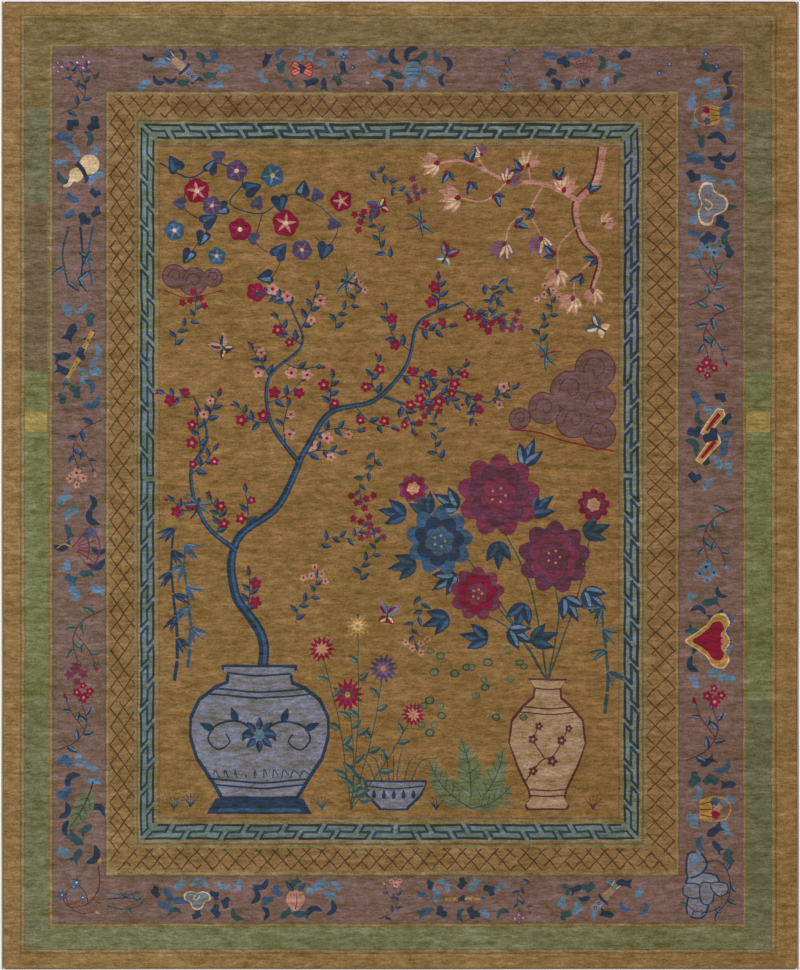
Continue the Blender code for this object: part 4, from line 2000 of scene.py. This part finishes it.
@dataclass(frozen=True)
class Shell:
    """Collects the faces of one mesh: its points, corners, map places, shades and finishes."""

    points: list[Array] = field(default_factory=list)
    covers: list[tuple[Array, ...]] = field(default_factory=list)

    def lay(self, points: Array) -> Array:
        """Add points and return their numbers.

        Args:
            points: the points.

        Returns:
            Their numbers.
        """
        first = sum(len(part) for part in self.points)
        self.points.append(points)
        return np.arange(first, first + len(points))

    def cover(self, faces: Array, maps: Array, shades: Array, finish: int = 0) -> None:
        """Add triangles with a map place for each corner and a shade for each triangle."""
        self.covers.append((faces, maps, shades, np.full(len(faces), finish)))

    def band(self, lower: Array, upper: Array, row: int, shades: Array, finish: int = 0) -> None:
        """Join two rings of points and give the strip a thin row of its own on the map.

        Args:
            lower, upper: point numbers of the rings.
            row: the strip's row on the map.
            shades: a shade for each place.
            finish: the slot of its material.
        """
        after, above = np.roll(lower, -1), np.roll(upper, -1)
        steps = np.arange(len(lower)) / len(lower)
        corners = np.stack([steps, steps * 0, steps, steps * 0 + 1], axis=1).reshape(-1, 2, 2)
        near_low, near_high = corners[:, 0], corners[:, 1]
        far_low, far_high = near_low + (1.0 / len(lower), 0.0), near_high + (1.0 / len(lower), 0.0)
        faces = np.vstack([np.stack([lower, after, above], 1), np.stack([lower, above, upper], 1)])
        maps = np.vstack(
            [np.stack([near_low, far_low, far_high], 1), np.stack([near_low, far_high, near_high], 1)]
        )
        self.cover(faces, on_map(maps, row), np.vstack([shades, shades]), finish)

    def close(self, numbers: Array, rings: Sequence[Array], upwards: bool = False, finish: int = 0) -> None:
        """Close the space inside a ring, or between two, with a face that nobody sees.

        Args:
            numbers: the points of the rings.
            rings: their places on the plan.
            upwards: whether the face looks up.
            finish: the slot of its material.
        """
        faces = close_between(*rings)
        if not upwards:
            faces = faces[:, ::-1]
        self.cover(numbers[faces], on_map(shares(np.vstack(rings)), 0)[faces], dull(len(faces)), finish)

    def build(self, name: str, finishes: Sequence[bpy.types.Material]) -> bpy.types.Object:
        """Make the object.

        Args:
            name: the object's name.
            finishes: materials of its slots.

        Returns:
            The object.
        """
        points = np.vstack(self.points)
        faces, maps, shades, slots = (np.concatenate(part) for part in zip(*self.covers))
        data = bpy.data.meshes.new(name)
        data.from_pydata(points.tolist(), [], faces.tolist())
        for finish in finishes:
            data.materials.append(finish)
        data.polygons.foreach_set("material_index", slots.astype(np.int32))
        places = data.uv_layers.new(name="OFBake")
        places.data.foreach_set("uv", maps.astype(np.float32).reshape(-1))
        yarn = data.color_attributes.new("yarn", "FLOAT_COLOR", "CORNER")
        shades = np.repeat(shades, 3, axis=0) * tone_drift(points[faces.reshape(-1)])
        colours = np.concatenate([shades, np.ones((len(shades), 1))], axis=1)
        yarn.data.foreach_set("color", colours.astype(np.float32).reshape(-1))
        data.shade_smooth()
        data.update()
        return stand(name, data)


def outwards(plan: Array, outer: Rect, inset: float, radius: float) -> Array:
    """Directions away from the middle at places along an outline with round corners.

    Args:
        plan: the places.
        outer: the rectangle.
        inset: how far inside it the outline lies.
        radius: of the outline's corners.

    Returns:
        The directions, one row each.
    """
    past = np.abs(plan) - (np.array([outer.right, outer.top]) - inset - radius)
    nearest = (past >= past.max(axis=1)[:, None]).astype(float)
    away = np.where((past > 0).all(axis=1)[:, None], np.maximum(past, 0.0), nearest)
    return away / np.linalg.norm(away, axis=1)[:, None] * np.sign(plan)


@dataclass(frozen=True)
class WovenPart:
    """A part of the knotted piece, which the loom makes from the drawing."""

    plan: Plan
    lie: Lie
    loom: Loom = Loom()
    end_inset: float = 3.8
    joint: float = 0.15
    zone_corner: float = 1.5
    zone_step: float = 18.0
    # inset from the outline and height above the floor, from the pile's face down to the foundation
    rim: tuple[tuple[float, float], ...] = (
        (5.5, 11.5),
        (3.4, 11.1),
        (2.0, 10.2),
        (0.7, 8.6),
        (0.0, 5.6),
        (0.5, 3.4),
        (1.0, 3.15),
    )

    def outer(self) -> Rect:
        """The part's outer rectangle.

        Returns:
            The rectangle, in millimetres.
        """
        half_width = (self.lie.width / 2 - self.lie.cord_width - self.lie.clearance) * MILLIMETRES
        half_length = self.lie.length * HALF_MM - self.end_inset
        return Rect(-half_width, half_width, -half_length, half_length)

    def zone(self, grow: float) -> Array:
        """Outline of the centre, a little larger or smaller than the line that the parts share."""
        return self.plan.rect(self.plan.mauve_end).rounded(-grow, self.zone_corner, self.zone_step)

    def face(self, shell: Shell, cloth: Cloth) -> Array:
        """Add the points of the pile's upper face."""
        return shell.lay(self.lie.settle(cloth.points, self.rim[0][1], 1.0))

    def wall(self, shell: Shell, cloth: Cloth, loop: Array, upper: Array, row: int) -> Array:
        """Add an upright wall down to the foundation and return its lower ring.

        Args:
            shell: the mesh.
            cloth: the part's cloth.
            loop: places of the wall, as the cloth numbers them.
            upper: the ring it hangs from.
            row: its row on the map.

        Returns:
            The lower ring.
        """
        base = shell.lay(self.lie.settle(cloth.points[loop], self.rim[-1][1]))
        shell.band(base, upper, row, cloth.edge_shades(loop))
        return base


@dataclass(frozen=True)
class CentrePile(WovenPart):
    """The field with its fret and lattice."""

    def build(self, finish: bpy.types.Material) -> bpy.types.Object:
        """Make the piece.

        Args:
            finish: the wool's material.

        Returns:
            The piece.
        """
        cloth = self.loom.weave(CarpetDrawing(self.plan).centre(), self.zone(-self.joint))
        shell = Shell()
        top = self.face(shell, cloth)
        shell.cover(top[cloth.triangles], on_map(shares(cloth.points))[cloth.triangles], cloth.shades)
        loop = cloth.loops()[0]
        base = self.wall(shell, cloth, loop, top[loop], 1)
        shell.close(base, [cloth.points[loop]])
        return shell.build("pile_centre", [finish])


@dataclass(frozen=True)
class BorderPile(WovenPart):
    """The border round the centre, with the rounded rim of the pile."""

    tuft_pitch: float = 6.0
    tuft_size: float = 0.35
    tuft_waves: tuple[float, float] = (2.4, 0.37)
    least_tuft: float = 0.4
    tuft_run: float = 2.0
    # tufts stand out above the first height; the pile's relief begins at the second and is full at the top
    tuft_foot: float = 4.0
    relief_foot: float = 5.6
    relief_run: float = 5.9
    corner: float = 8.0
    cut_gap: float = 0.5

    def build(self, finish: bpy.types.Material) -> bpy.types.Object:
        """Make the piece.

        Args:
            finish: the wool's material.

        Returns:
            The piece.
        """
        shoulder = self.rim[0][0]
        outline = self.outer().rounded(shoulder, self.corner - shoulder, self.tuft_pitch)
        sheet = CarpetDrawing(self.plan).border()
        cloth = self.loom.weave(sheet, outline, [self.zone(self.joint)], self.strip_cuts(outline))
        shell = Shell()
        top = self.face(shell, cloth)
        shell.cover(top[cloth.triangles], self.strip_map(cloth), cloth.shades)
        inner, outer = sorted(cloth.loops()[:2], key=lambda loop: np.abs(cloth.points[loop]).max())
        rim_base = self.rim_rings(shell, cloth, outer, top[outer])
        inner_base = self.wall(shell, cloth, inner, top[inner], 10)
        shell.close(np.concatenate([rim_base, inner_base]), [cloth.points[outer], cloth.points[inner]])
        return shell.build("pile_border", [finish])

    def strip_cuts(self, outline: Array) -> list[Points]:
        """Lines from the centre's corners to both ends, where the map is cut into strips.

        Args:
            outline: outline of the cloth.

        Returns:
            The two ends of each line.
        """
        inner = self.plan.rect(self.plan.mauve_end)
        high = float(outline[:, 1].max())
        cuts: list[Points] = []
        for x in (inner.left - self.joint, inner.right + self.joint):
            cuts.append([(x, inner.top + self.cut_gap), (x, high)])
            cuts.append([(x, inner.bottom - self.cut_gap), (x, -high)])
        return cuts

    def strip_map(self, cloth: Cloth) -> Array:
        """Map places: the left and right strips run up the carpet, the two end strips across it.

        Args:
            cloth: the border's cloth.

        Returns:
            A map place for each corner of each triangle.
        """
        inner, outer = self.plan.rect(self.plan.mauve_end), self.outer()
        corners = cloth.points[cloth.triangles]
        x, y = corners[..., 0], corners[..., 1]
        middle_x, middle_y = corners.mean(axis=1).T
        strip = np.select([middle_x < inner.left, middle_x > inner.right, middle_y > 0], [0, 1, 2], 3)
        sides = (inner.left - outer.left, outer.right - inner.right)
        ends = (outer.top - inner.top, inner.bottom - outer.bottom)
        depths = np.array(sides + ends)
        inside = np.stack([x - outer.left, x - inner.right, y - inner.top, y - outer.bottom])
        starts = MAP_FOOT + (np.cumsum(depths) - depths) / depths.sum() * STRIPS_RUN
        along = np.where(strip[:, None] < 2, y, x) / (2 * outer.top) + 0.5
        across = inside[strip, np.arange(len(strip))] * STRIPS_FILLED / depths.sum()
        return np.stack([MAP_EDGE + MAP_RUN * along, starts[strip][:, None] + across], axis=-1)

    def rim_rings(self, shell: Shell, cloth: Cloth, loop: Array, ring: Array) -> Array:
        """Add the rounded rim below the upper face.

        Args:
            shell: the mesh.
            cloth: the border's cloth.
            loop: its outer edge.
            ring: that edge in the mesh.

        Returns:
            The lowest ring.
        """
        shoulder = self.rim[0][0]
        plan = cloth.points[loop]
        away = outwards(plan, self.outer(), shoulder, self.corner - shoulder)
        steps = np.arange(len(loop))
        quick, slow = self.tuft_waves
        tufts = 0.5 + 0.5 * np.sin(steps * quick) * np.sin(steps * slow)
        for row, (inset, height) in enumerate(self.rim[1:], start=2):
            growth = min(1.0, inset / self.tuft_run + self.least_tuft)
            bulge = self.tuft_size * tufts * growth * (height > self.tuft_foot)
            place = plan + away * (shoulder - inset - bulge)[:, None]
            lower = shell.lay(
                self.lie.settle(place, height, max(0.0, (height - self.relief_foot) / self.relief_run))
            )
            shell.band(lower, ring, row, cloth.edge_shades(loop))
            ring = lower
        return ring


@dataclass(frozen=True)
class Foundation(WovenPart):
    """The cotton foundation: the drawing shows on its underside, and a turned hem closes each end."""

    end_inset: float = 0.0
    corner: float = 6.0
    edge_step: float = 9.0
    # inset from the outline and height above the floor, from the underside up and in
    hem: tuple[tuple[float, float], ...] = (
        (1.6, 0.0), (0.6, 0.7), (0.0, 2.0), (0.3, 3.4), (1.3, 4.3), (2.6, 4.0), (3.4, 2.9),
    )
    side: tuple[tuple[float, float], ...] = (
        (1.6, 0.0), (0.8, 0.5), (0.5, 1.0), (0.5, 1.6), (0.6, 2.2), (1.0, 2.6), (1.8, 2.85),
    )
    lid: tuple[float, float] = (4.2, 2.85)

    def build(self, back: bpy.types.Material, hem: bpy.types.Material) -> bpy.types.Object:
        """Make the piece.

        Args:
            back, hem: materials of the underside and of the hems.

        Returns:
            The piece.
        """
        inset = self.hem[0][0]
        sheet = CarpetDrawing(self.plan).border()
        centre = CarpetDrawing(self.plan).centre()
        sheet.add(self.plan.rect(self.plan.mauve_end).corners(), centre.ground)
        sheet.figures += centre.figures
        cloth = self.loom.weave(sheet, self.outer().rounded(inset, self.corner - inset, self.edge_step))
        shell = Shell()
        under = shell.lay(self.lie.settle(cloth.points, 0.0))
        turned = cloth.triangles[:, ::-1]
        shell.cover(under[turned], on_map(shares(cloth.points))[turned], cloth.shades)
        loop = cloth.loops()[0]
        plan = cloth.points[loop]
        away = outwards(plan, self.outer(), inset, self.corner - inset)
        at_end = (np.abs(away[:, 1]) ** 3)[:, None]
        ring = under[loop]
        steps = [
            at_end * end + (1.0 - at_end) * side for end, side in zip(np.array(self.hem), np.array(self.side))
        ]
        steps.append(np.tile(self.lid, (len(loop), 1)))
        for row, step in enumerate(steps[1:], start=1):
            upper = shell.lay(self.lie.settle(plan + away * (inset - step[:, :1]), step[:, 1]))
            shell.band(ring, upper, row, dull(len(loop)), 1)
            ring = upper
        shell.close(ring, [plan], True, 1)
        return shell.build("foundation", [back, hem])


@dataclass(frozen=True)
class SideCord:
    """The outer warps of one long side, wound round with wool yarn."""

    lie: Lie
    side: float
    name: str
    pitch: float = 0.0031
    rings_per_turn: int = 4
    sides: int = 10
    groove: float = 0.11
    groove_sharpness: float = 1.5
    end_taper: float = 0.0045
    end_fullness: float = 0.5
    flattening: float = 0.0004

    def build(self, finish: bpy.types.Material) -> bpy.types.Object:
        """Make the piece.

        Args:
            finish: the yarn's material.

        Returns:
            The piece.
        """
        mark = self.side * self.lie.width / 2
        first, last = -float(self.lie.end_reach(mark, -1.0)), float(self.lie.end_reach(mark, 1.0))
        count = round((last - first) / self.pitch * self.rings_per_turn)
        y = np.linspace(first, last, count + 1)[:, None]
        turns = (np.arange(self.sides) + 0.5)[None, :] / self.sides
        wound = np.abs(np.sin(math.pi * ((y - first) / self.pitch + turns * self.side)))
        nearest = np.clip(np.minimum(y - first, last - y) / self.end_taper, 0.0, 1.0)
        reach = 1.0 - self.groove * (1.0 - wound) ** self.groove_sharpness
        full = self.end_fullness
        reach = reach * (full + (1.0 - full) * np.sqrt(1.0 - (1.0 - nearest) ** 2))
        angle = 2 * math.pi * turns
        centre_x = self.side * (self.lie.side_reach(y, self.side) - self.lie.cord_width / 2)
        x = centre_x + reach * self.lie.cord_width / 2 * np.cos(angle)
        z = self.lie.cord_height / 2 * (1.0 + reach * np.sin(angle)) - self.flattening
        points = np.stack([x, np.broadcast_to(y, x.shape), np.maximum(z, 0.0)], axis=-1).reshape(-1, 3)
        numbers = np.arange(len(points)).reshape(count + 1, self.sides)
        lower, upper = numbers[:-1], numbers[1:]
        faces = np.stack([lower, np.roll(lower, -1, 1), np.roll(upper, -1, 1), upper], axis=-1).reshape(-1, 4)
        rows = faces.tolist() + [numbers[0][::-1].tolist(), numbers[-1].tolist()]
        data = bpy.data.meshes.new(self.name)
        data.from_pydata(points.tolist(), [], rows)
        data.materials.append(finish)
        data.shade_smooth()
        return stand(self.name, data)


@dataclass(frozen=True)
class Value:
    """A number in a shader: a socket that takes part in sums."""

    nodes: "Nodes"
    socket: Any

    def __add__(self, other: Any) -> "Value":
        """The sum of this value and another."""
        return self.nodes.maths("ADD", self, other)

    def __sub__(self, other: Any) -> "Value":
        """This value less another."""
        return self.nodes.maths("SUBTRACT", self, other)

    def __rsub__(self, other: Any) -> "Value":
        """Another value less this one."""
        return self.nodes.maths("SUBTRACT", other, self)

    def __mul__(self, other: Any) -> "Value":
        """The product of this value and another."""
        return self.nodes.maths("MULTIPLY", self, other)

    __radd__ = __add__
    __rmul__ = __mul__


class Nodes:
    """Adds shader nodes to one material."""

    def __init__(self, name: str) -> None:
        """Start a material of this name with a Principled shader.

        Args:
            name: the material's name.
        """
        self.material = bpy.data.materials.new(name)
        self.material.use_nodes = True
        self.tree = self.material.node_tree
        self.shader = self.tree.nodes["Principled BSDF"]

    def node(self, kind: str, settings: dict[str, Any] | None = None, **values: Any) -> Any:
        """Add a node.

        Args:
            kind: the node's type.
            settings: its properties, set before anything is linked.
            values: its inputs, by name with underscores for spaces, or in_ and a number.

        Returns:
            The node.
        """
        made = self.tree.nodes.new(kind)
        for name, value in (settings or {}).items():
            setattr(made, name, value)
        self.give(made, values)
        return made

    def give(self, node: Any, values: dict[str, Any]) -> None:
        """Link values to a node's inputs, or set the inputs.

        Args:
            node: the node.
            values: its inputs, named as node names them.
        """
        for name, value in values.items():
            entry = node.inputs[int(name[3:]) if name.startswith("in_") else name.replace("_", " ")]
            if isinstance(value, Value):
                value = value.socket
            if isinstance(value, bpy.types.NodeSocket):
                self.tree.links.new(value, entry)
            else:
                entry.default_value = value

    def finish(self, **values: Any) -> bpy.types.Material:
        """Give the shader its values and hand over the material."""
        self.give(self.shader, values)
        return self.material

    def maths(self, operation: str, first: Any, second: Any = 0.0) -> Value:
        """A Math node."""
        made = self.node("ShaderNodeMath", {"operation": operation}, in_0=first, in_1=second)
        return Value(self, made.outputs[0])

    def place(self, x: float, y: float, z: float) -> Any:
        """Places on the piece, in units of the given sizes in millimetres.

        Args:
            x, y, z: the sizes.

        Returns:
            The socket.
        """
        coordinates = self.node("ShaderNodeTexCoord").outputs["Object"]
        scale = tuple(MILLIMETRES / size for size in (x, y, z))
        made = self.node("ShaderNodeVectorMath", {"operation": "MULTIPLY"}, in_0=coordinates, in_1=scale)
        return made.outputs[0]

    def noise(self, x: float, y: float, z: float, detail: float = 2.0, roughness: float = 0.5) -> Value:
        """Noise about zero that changes once in each of the given sizes in millimetres.

        Args:
            x, y, z: the sizes.
            detail, roughness: how fine it goes, and how strongly.

        Returns:
            The noise.
        """
        place = self.place(x, y, z)
        made = self.node(
            "ShaderNodeTexNoise", None, Vector=place, Scale=1.0, Detail=detail, Roughness=roughness,
        )
        return Value(self, made.outputs[0]) - 0.5

    def yarn(self) -> Any:
        """The dye of the yarn at each place."""
        return self.node("ShaderNodeAttribute", {"attribute_name": "yarn"}).outputs["Color"]

    def blend(self, factor: Any, first: Any, second: Any, kind: str = "MIX") -> Any:
        """Two colours mixed by a factor."""
        settings = {"data_type": "RGBA", "blend_type": kind}
        return self.node("ShaderNodeMix", settings, in_0=factor, in_6=first, in_7=second).outputs[2]

    def tint(self, red: Any, green: Any, blue: Any) -> Any:
        """A colour from three numbers."""
        return self.node("ShaderNodeCombineColor", None, in_0=red, in_1=green, in_2=blue).outputs[0]

    def bump(self, strength: float, distance: float, height: Value) -> Any:
        """A normal bent by a height."""
        made = self.node("ShaderNodeBump", None, Strength=strength, Distance=distance, Height=height)
        return made.outputs[0]


@dataclass(frozen=True)
class WoolPile:
    """Clipped wool pile: each knot a little different, with streaks of dye along the rows of knots."""

    name: str = "wool_pile"
    knot: float = 3.06
    knot_depth: float = 8.0
    streak: float = 0.85
    patch: float = 0.58
    long_streak: float = 0.66
    band: float = 0.30
    mottle: float = 0.36
    knot_tone: float = 0.40
    dash: float = 1.0
    least_dash: float = 0.08
    warmth: float = 0.75
    greyness: float = 0.85
    # grains of the noises: sizes across, along and up in millimetres, then detail and roughness
    streak_grain: tuple[float, ...] = (24.0, 6.5, 40.0, 1.5, 0.6)
    dash_grain: tuple[float, ...] = (19.0, 4.0, 40.0, 0.0)
    patch_grain: tuple[float, ...] = (45.0, 24.0, 60.0, 1.0)
    long_streak_grain: tuple[float, ...] = (85.0, 15.0, 40.0, 1.5)
    band_grain: tuple[float, ...] = (2600.0, 27.0, 900.0)
    mottle_grain: tuple[float, ...] = (260.0, 190.0, 400.0)
    warmth_grain: tuple[float, ...] = (46.0, 7.0, 200.0, 3.0, 0.7)
    greyness_grain: tuple[float, ...] = (9.0, 7.0, 60.0, 1.0)
    # what a paler knot and a warmer one give to red, green and blue: pale wool differs from dark wool
    # by the same step in each colour, so blue swings furthest
    paler: tuple[float, float, float] = (1.1, 1.2, 1.9)
    warmer: tuple[float, float, float] = (0.45, -0.25, -0.7)
    knot_height: float = 0.6
    streak_height: float = 0.8
    nap_depth: float = 0.0010
    nap_strength: float = 0.45
    roughness: float = 0.93
    roughness_spread: float = 0.06
    sheen: float = 0.12
    sheen_roughness: float = 0.6

    def build(self) -> bpy.types.Material:
        """Make the material.

        Returns:
            The material.
        """
        nodes = Nodes(self.name)
        streaks = nodes.noise(*self.streak_grain)
        dashes = nodes.maths("MAXIMUM", nodes.noise(*self.dash_grain) - self.least_dash, 0.0)
        place = nodes.place(self.knot, self.knot, self.knot_depth)
        cells = nodes.node("ShaderNodeTexVoronoi", None, Vector=place, Scale=1.0)
        parts = nodes.node("ShaderNodeSeparateColor", None, in_0=cells.outputs["Color"])
        knots = Value(nodes, parts.outputs[0]) - 0.5
        tone = 1.0 - dashes * self.dash
        for noise, share in (
            (streaks, self.streak),
            (nodes.noise(*self.patch_grain), self.patch),
            (nodes.noise(*self.long_streak_grain), self.long_streak),
            (nodes.noise(*self.band_grain), self.band),
            (nodes.noise(*self.mottle_grain), self.mottle),
            (knots, self.knot_tone),
        ):
            tone = tone * (1.0 + noise * share)
        warm = nodes.noise(*self.warmth_grain) * self.warmth
        grey = nodes.noise(*self.greyness_grain) * self.greyness
        lift = tone - 1.0
        red, green, blue = (1.0 + lift * pale + warm * turn for pale, turn in zip(self.paler, self.warmer))
        cast = nodes.tint(red, green, blue + grey)
        collars = 1.0 - Value(nodes, cells.outputs["Distance"])
        height = collars * self.knot_height + streaks * self.streak_height
        return nodes.finish(
            Base_Color=nodes.blend(1.0, nodes.yarn(), cast, "MULTIPLY"),
            Roughness=self.roughness + knots * self.roughness_spread,
            Normal=nodes.bump(self.nap_strength, self.nap_depth, height),
            Sheen_Weight=self.sheen,
            Sheen_Roughness=self.sheen_roughness,
            Specular_IOR_Level=YARN_SPECULAR,
        )


@dataclass(frozen=True)
class KnottedBack:
    """The underside: rows of knot collars and cotton weft, in duller shades of the drawing."""

    name: str = "knotted_back"
    row: float = 3.06
    cotton: tuple[float, float, float, float] = (0.30, 0.25, 0.18, 1.0)
    # heights of the rows of collars and of the warps, their mean, and the level under which the weft shows
    row_height: float = 0.5
    warp_height: float = 0.25
    mean_height: float = 0.75
    weft_level: float = 0.42
    # how much cotton shows between the collars, and how much more over the weft
    cotton_share: float = 0.12
    weft_share: float = 0.35
    tone: float = 0.90
    tone_spread: float = 0.4
    grain: tuple[float, ...] = (22.0, 3.3, 40.0, 2.0, 0.6)
    relief_strength: float = 0.5
    relief_depth: float = 0.0006
    roughness: float = 0.9

    def build(self) -> bpy.types.Material:
        """Make the material.

        Returns:
            The material.
        """
        nodes = Nodes(self.name)
        place = nodes.node("ShaderNodeSeparateXYZ", None, in_0=nodes.place(self.row, self.row, self.row))
        columns, rows = (
            nodes.maths("SINE", Value(nodes, place.outputs[axis]) * (2 * math.pi)) for axis in (0, 1)
        )
        ridges = rows * self.row_height + columns * self.warp_height + self.mean_height
        weft = nodes.maths("LESS_THAN", ridges, self.weft_level)
        worn = nodes.blend(self.cotton_share + weft * self.weft_share, nodes.yarn(), self.cotton)
        tone = self.tone + nodes.noise(*self.grain) * self.tone_spread
        return nodes.finish(
            Base_Color=nodes.blend(1.0, worn, nodes.tint(tone, tone, tone), "MULTIPLY"),
            Roughness=self.roughness,
            Normal=nodes.bump(self.relief_strength, self.relief_depth, ridges),
            Specular_IOR_Level=YARN_SPECULAR,
        )


@dataclass(frozen=True)
class WoundYarn:
    """Dull yarn or cotton with a fibrous face, for the cords and the hems."""

    name: str
    colour: tuple[float, float, float, float]
    variation: float = 0.35
    patch: float = 0.5
    fibre_grain: tuple[float, ...] = (4.0, 1.2, 1.2, 3.0, 0.6)
    patch_grain: tuple[float, ...] = (40.0, 90.0, 40.0)
    relief_strength: float = 0.4
    relief_depth: float = 0.0003
    roughness: float = 0.92
    sheen: float = 0.1

    def build(self) -> bpy.types.Material:
        """Make the material.

        Returns:
            The material.
        """
        nodes = Nodes(self.name)
        fibre = nodes.noise(*self.fibre_grain)
        tone = (1.0 + fibre * self.variation) * (1.0 + nodes.noise(*self.patch_grain) * self.patch)
        return nodes.finish(
            Base_Color=nodes.blend(1.0, self.colour, nodes.tint(tone, tone, tone), "MULTIPLY"),
            Roughness=self.roughness,
            Normal=nodes.bump(self.relief_strength, self.relief_depth, fibre),
            Sheen_Weight=self.sheen,
            Specular_IOR_Level=YARN_SPECULAR,
        )


@dataclass(frozen=True)
class Studio:
    """A pale floor, even soft light and a camera straight above."""

    distance: float = 12.0
    camera_x: float = -0.00046
    camera_y: float = 0.00092
    picture_height: float = 2.966
    sensor: float = 36.0
    floor_size: float = 14.0
    floor_albedo: float = 0.93
    floor_roughness: float = 0.9
    floor_drop: float = 0.0002
    sky_strength: float = 0.70
    lamp_power: float = 120.0
    lamp_size: float = 5.0
    lamp_place: tuple[float, float, float] = (-1.0, 1.1, 5.5)

    def build(self) -> None:
        """Make the floor, the lights and the camera."""
        self.floor()
        self.lights()
        self.camera()

    def floor(self) -> None:
        """Lay the floor."""
        half = self.floor_size / 2
        data = bpy.data.meshes.new("floor")
        corners = [(x, y, -self.floor_drop) for x, y in Rect(-half, half, -half, half).corners().tolist()]
        data.from_pydata(corners, [], [(0, 1, 2, 3)])
        paint = (self.floor_albedo, self.floor_albedo, self.floor_albedo, 1.0)
        finish = Nodes("floor_paint").finish(Base_Color=paint, Roughness=self.floor_roughness)
        data.materials.append(finish)
        stand("floor", data)

    def lights(self) -> None:
        """Light the room from all round and from a large lamp above the far left corner."""
        world = bpy.data.worlds.new("room")
        world.use_nodes = True
        sky = world.node_tree.nodes["Background"]
        sky.inputs["Color"].default_value = (1.0, 1.0, 1.0, 1.0)
        sky.inputs["Strength"].default_value = self.sky_strength
        bpy.context.scene.world = world
        lamp = bpy.data.lights.new("soft_lamp", "AREA")
        lamp.shape = "SQUARE"
        lamp.size = self.lamp_size
        lamp.energy = self.lamp_power
        thing = stand("soft_lamp", lamp)
        thing.location = self.lamp_place
        thing.rotation_mode = "QUATERNION"
        thing.rotation_quaternion = (-Vector(self.lamp_place)).to_track_quat("-Z", "Y")

    def camera(self) -> None:
        """Look straight down, with the far end of the carpet at the top of the picture."""
        data = bpy.data.cameras.new("camera")
        data.sensor_width = self.sensor
        data.lens = self.sensor * self.distance / self.picture_height
        thing = stand("camera", data)
        thing.location = (self.camera_x, self.camera_y, self.distance)
        bpy.context.scene.camera = thing
        bpy.context.scene.view_settings.view_transform = "Standard"


def main() -> None:
    """Build the carpet and its studio."""
    logging.basicConfig(level=logging.INFO, format="%(message)s")
    lie = Lie()
    plan = Plan(lie.width * MILLIMETRES, lie.length * MILLIMETRES)
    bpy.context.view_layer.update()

    pile = WoolPile().build()
    back = KnottedBack().build()
    hem = WoundYarn("hem_cotton", (0.205, 0.140, 0.092, 1.0)).build()
    # the cord's colour is painted lighter than its wool: painted light that makes up for the shade in the
    # trench beside the taller pile
    overcast = WoundYarn("overcast_wool", (0.360, 0.260, 0.165, 1.0)).build()

    centre = CentrePile(plan, lie).build(pile)
    border = BorderPile(plan, lie).build(pile)
    foundation = Foundation(plan, lie).build(back, hem)
    for piece in (centre, border, foundation):
        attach(piece, "root")
        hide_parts("knotted_rug")
    inner = plan.rect(plan.mauve_end)
    inner_width = (inner.right - inner.left) * METRES
    inner_length = (inner.top - inner.bottom) * METRES
    pile_width = lie.width - 2 * (lie.cord_width + lie.clearance)
    pile_width * lie.length - inner_width * inner_length
    cords = []
    for side, name in ((-1.0, "selvedge_left"), (1.0, "selvedge_right")):
        cord = SideCord(lie, side, name.replace("selvedge", "overcast_cord")).build(overcast)
        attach(cord, "root")
        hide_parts(name)
        cords.append(cord)
    for piece in (centre, border, foundation, *cords):
        LOG.info("%s: %d faces", piece.name, len(piece.data.polygons))

    Studio().build()
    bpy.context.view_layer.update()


if __name__ == "__main__":
    main()
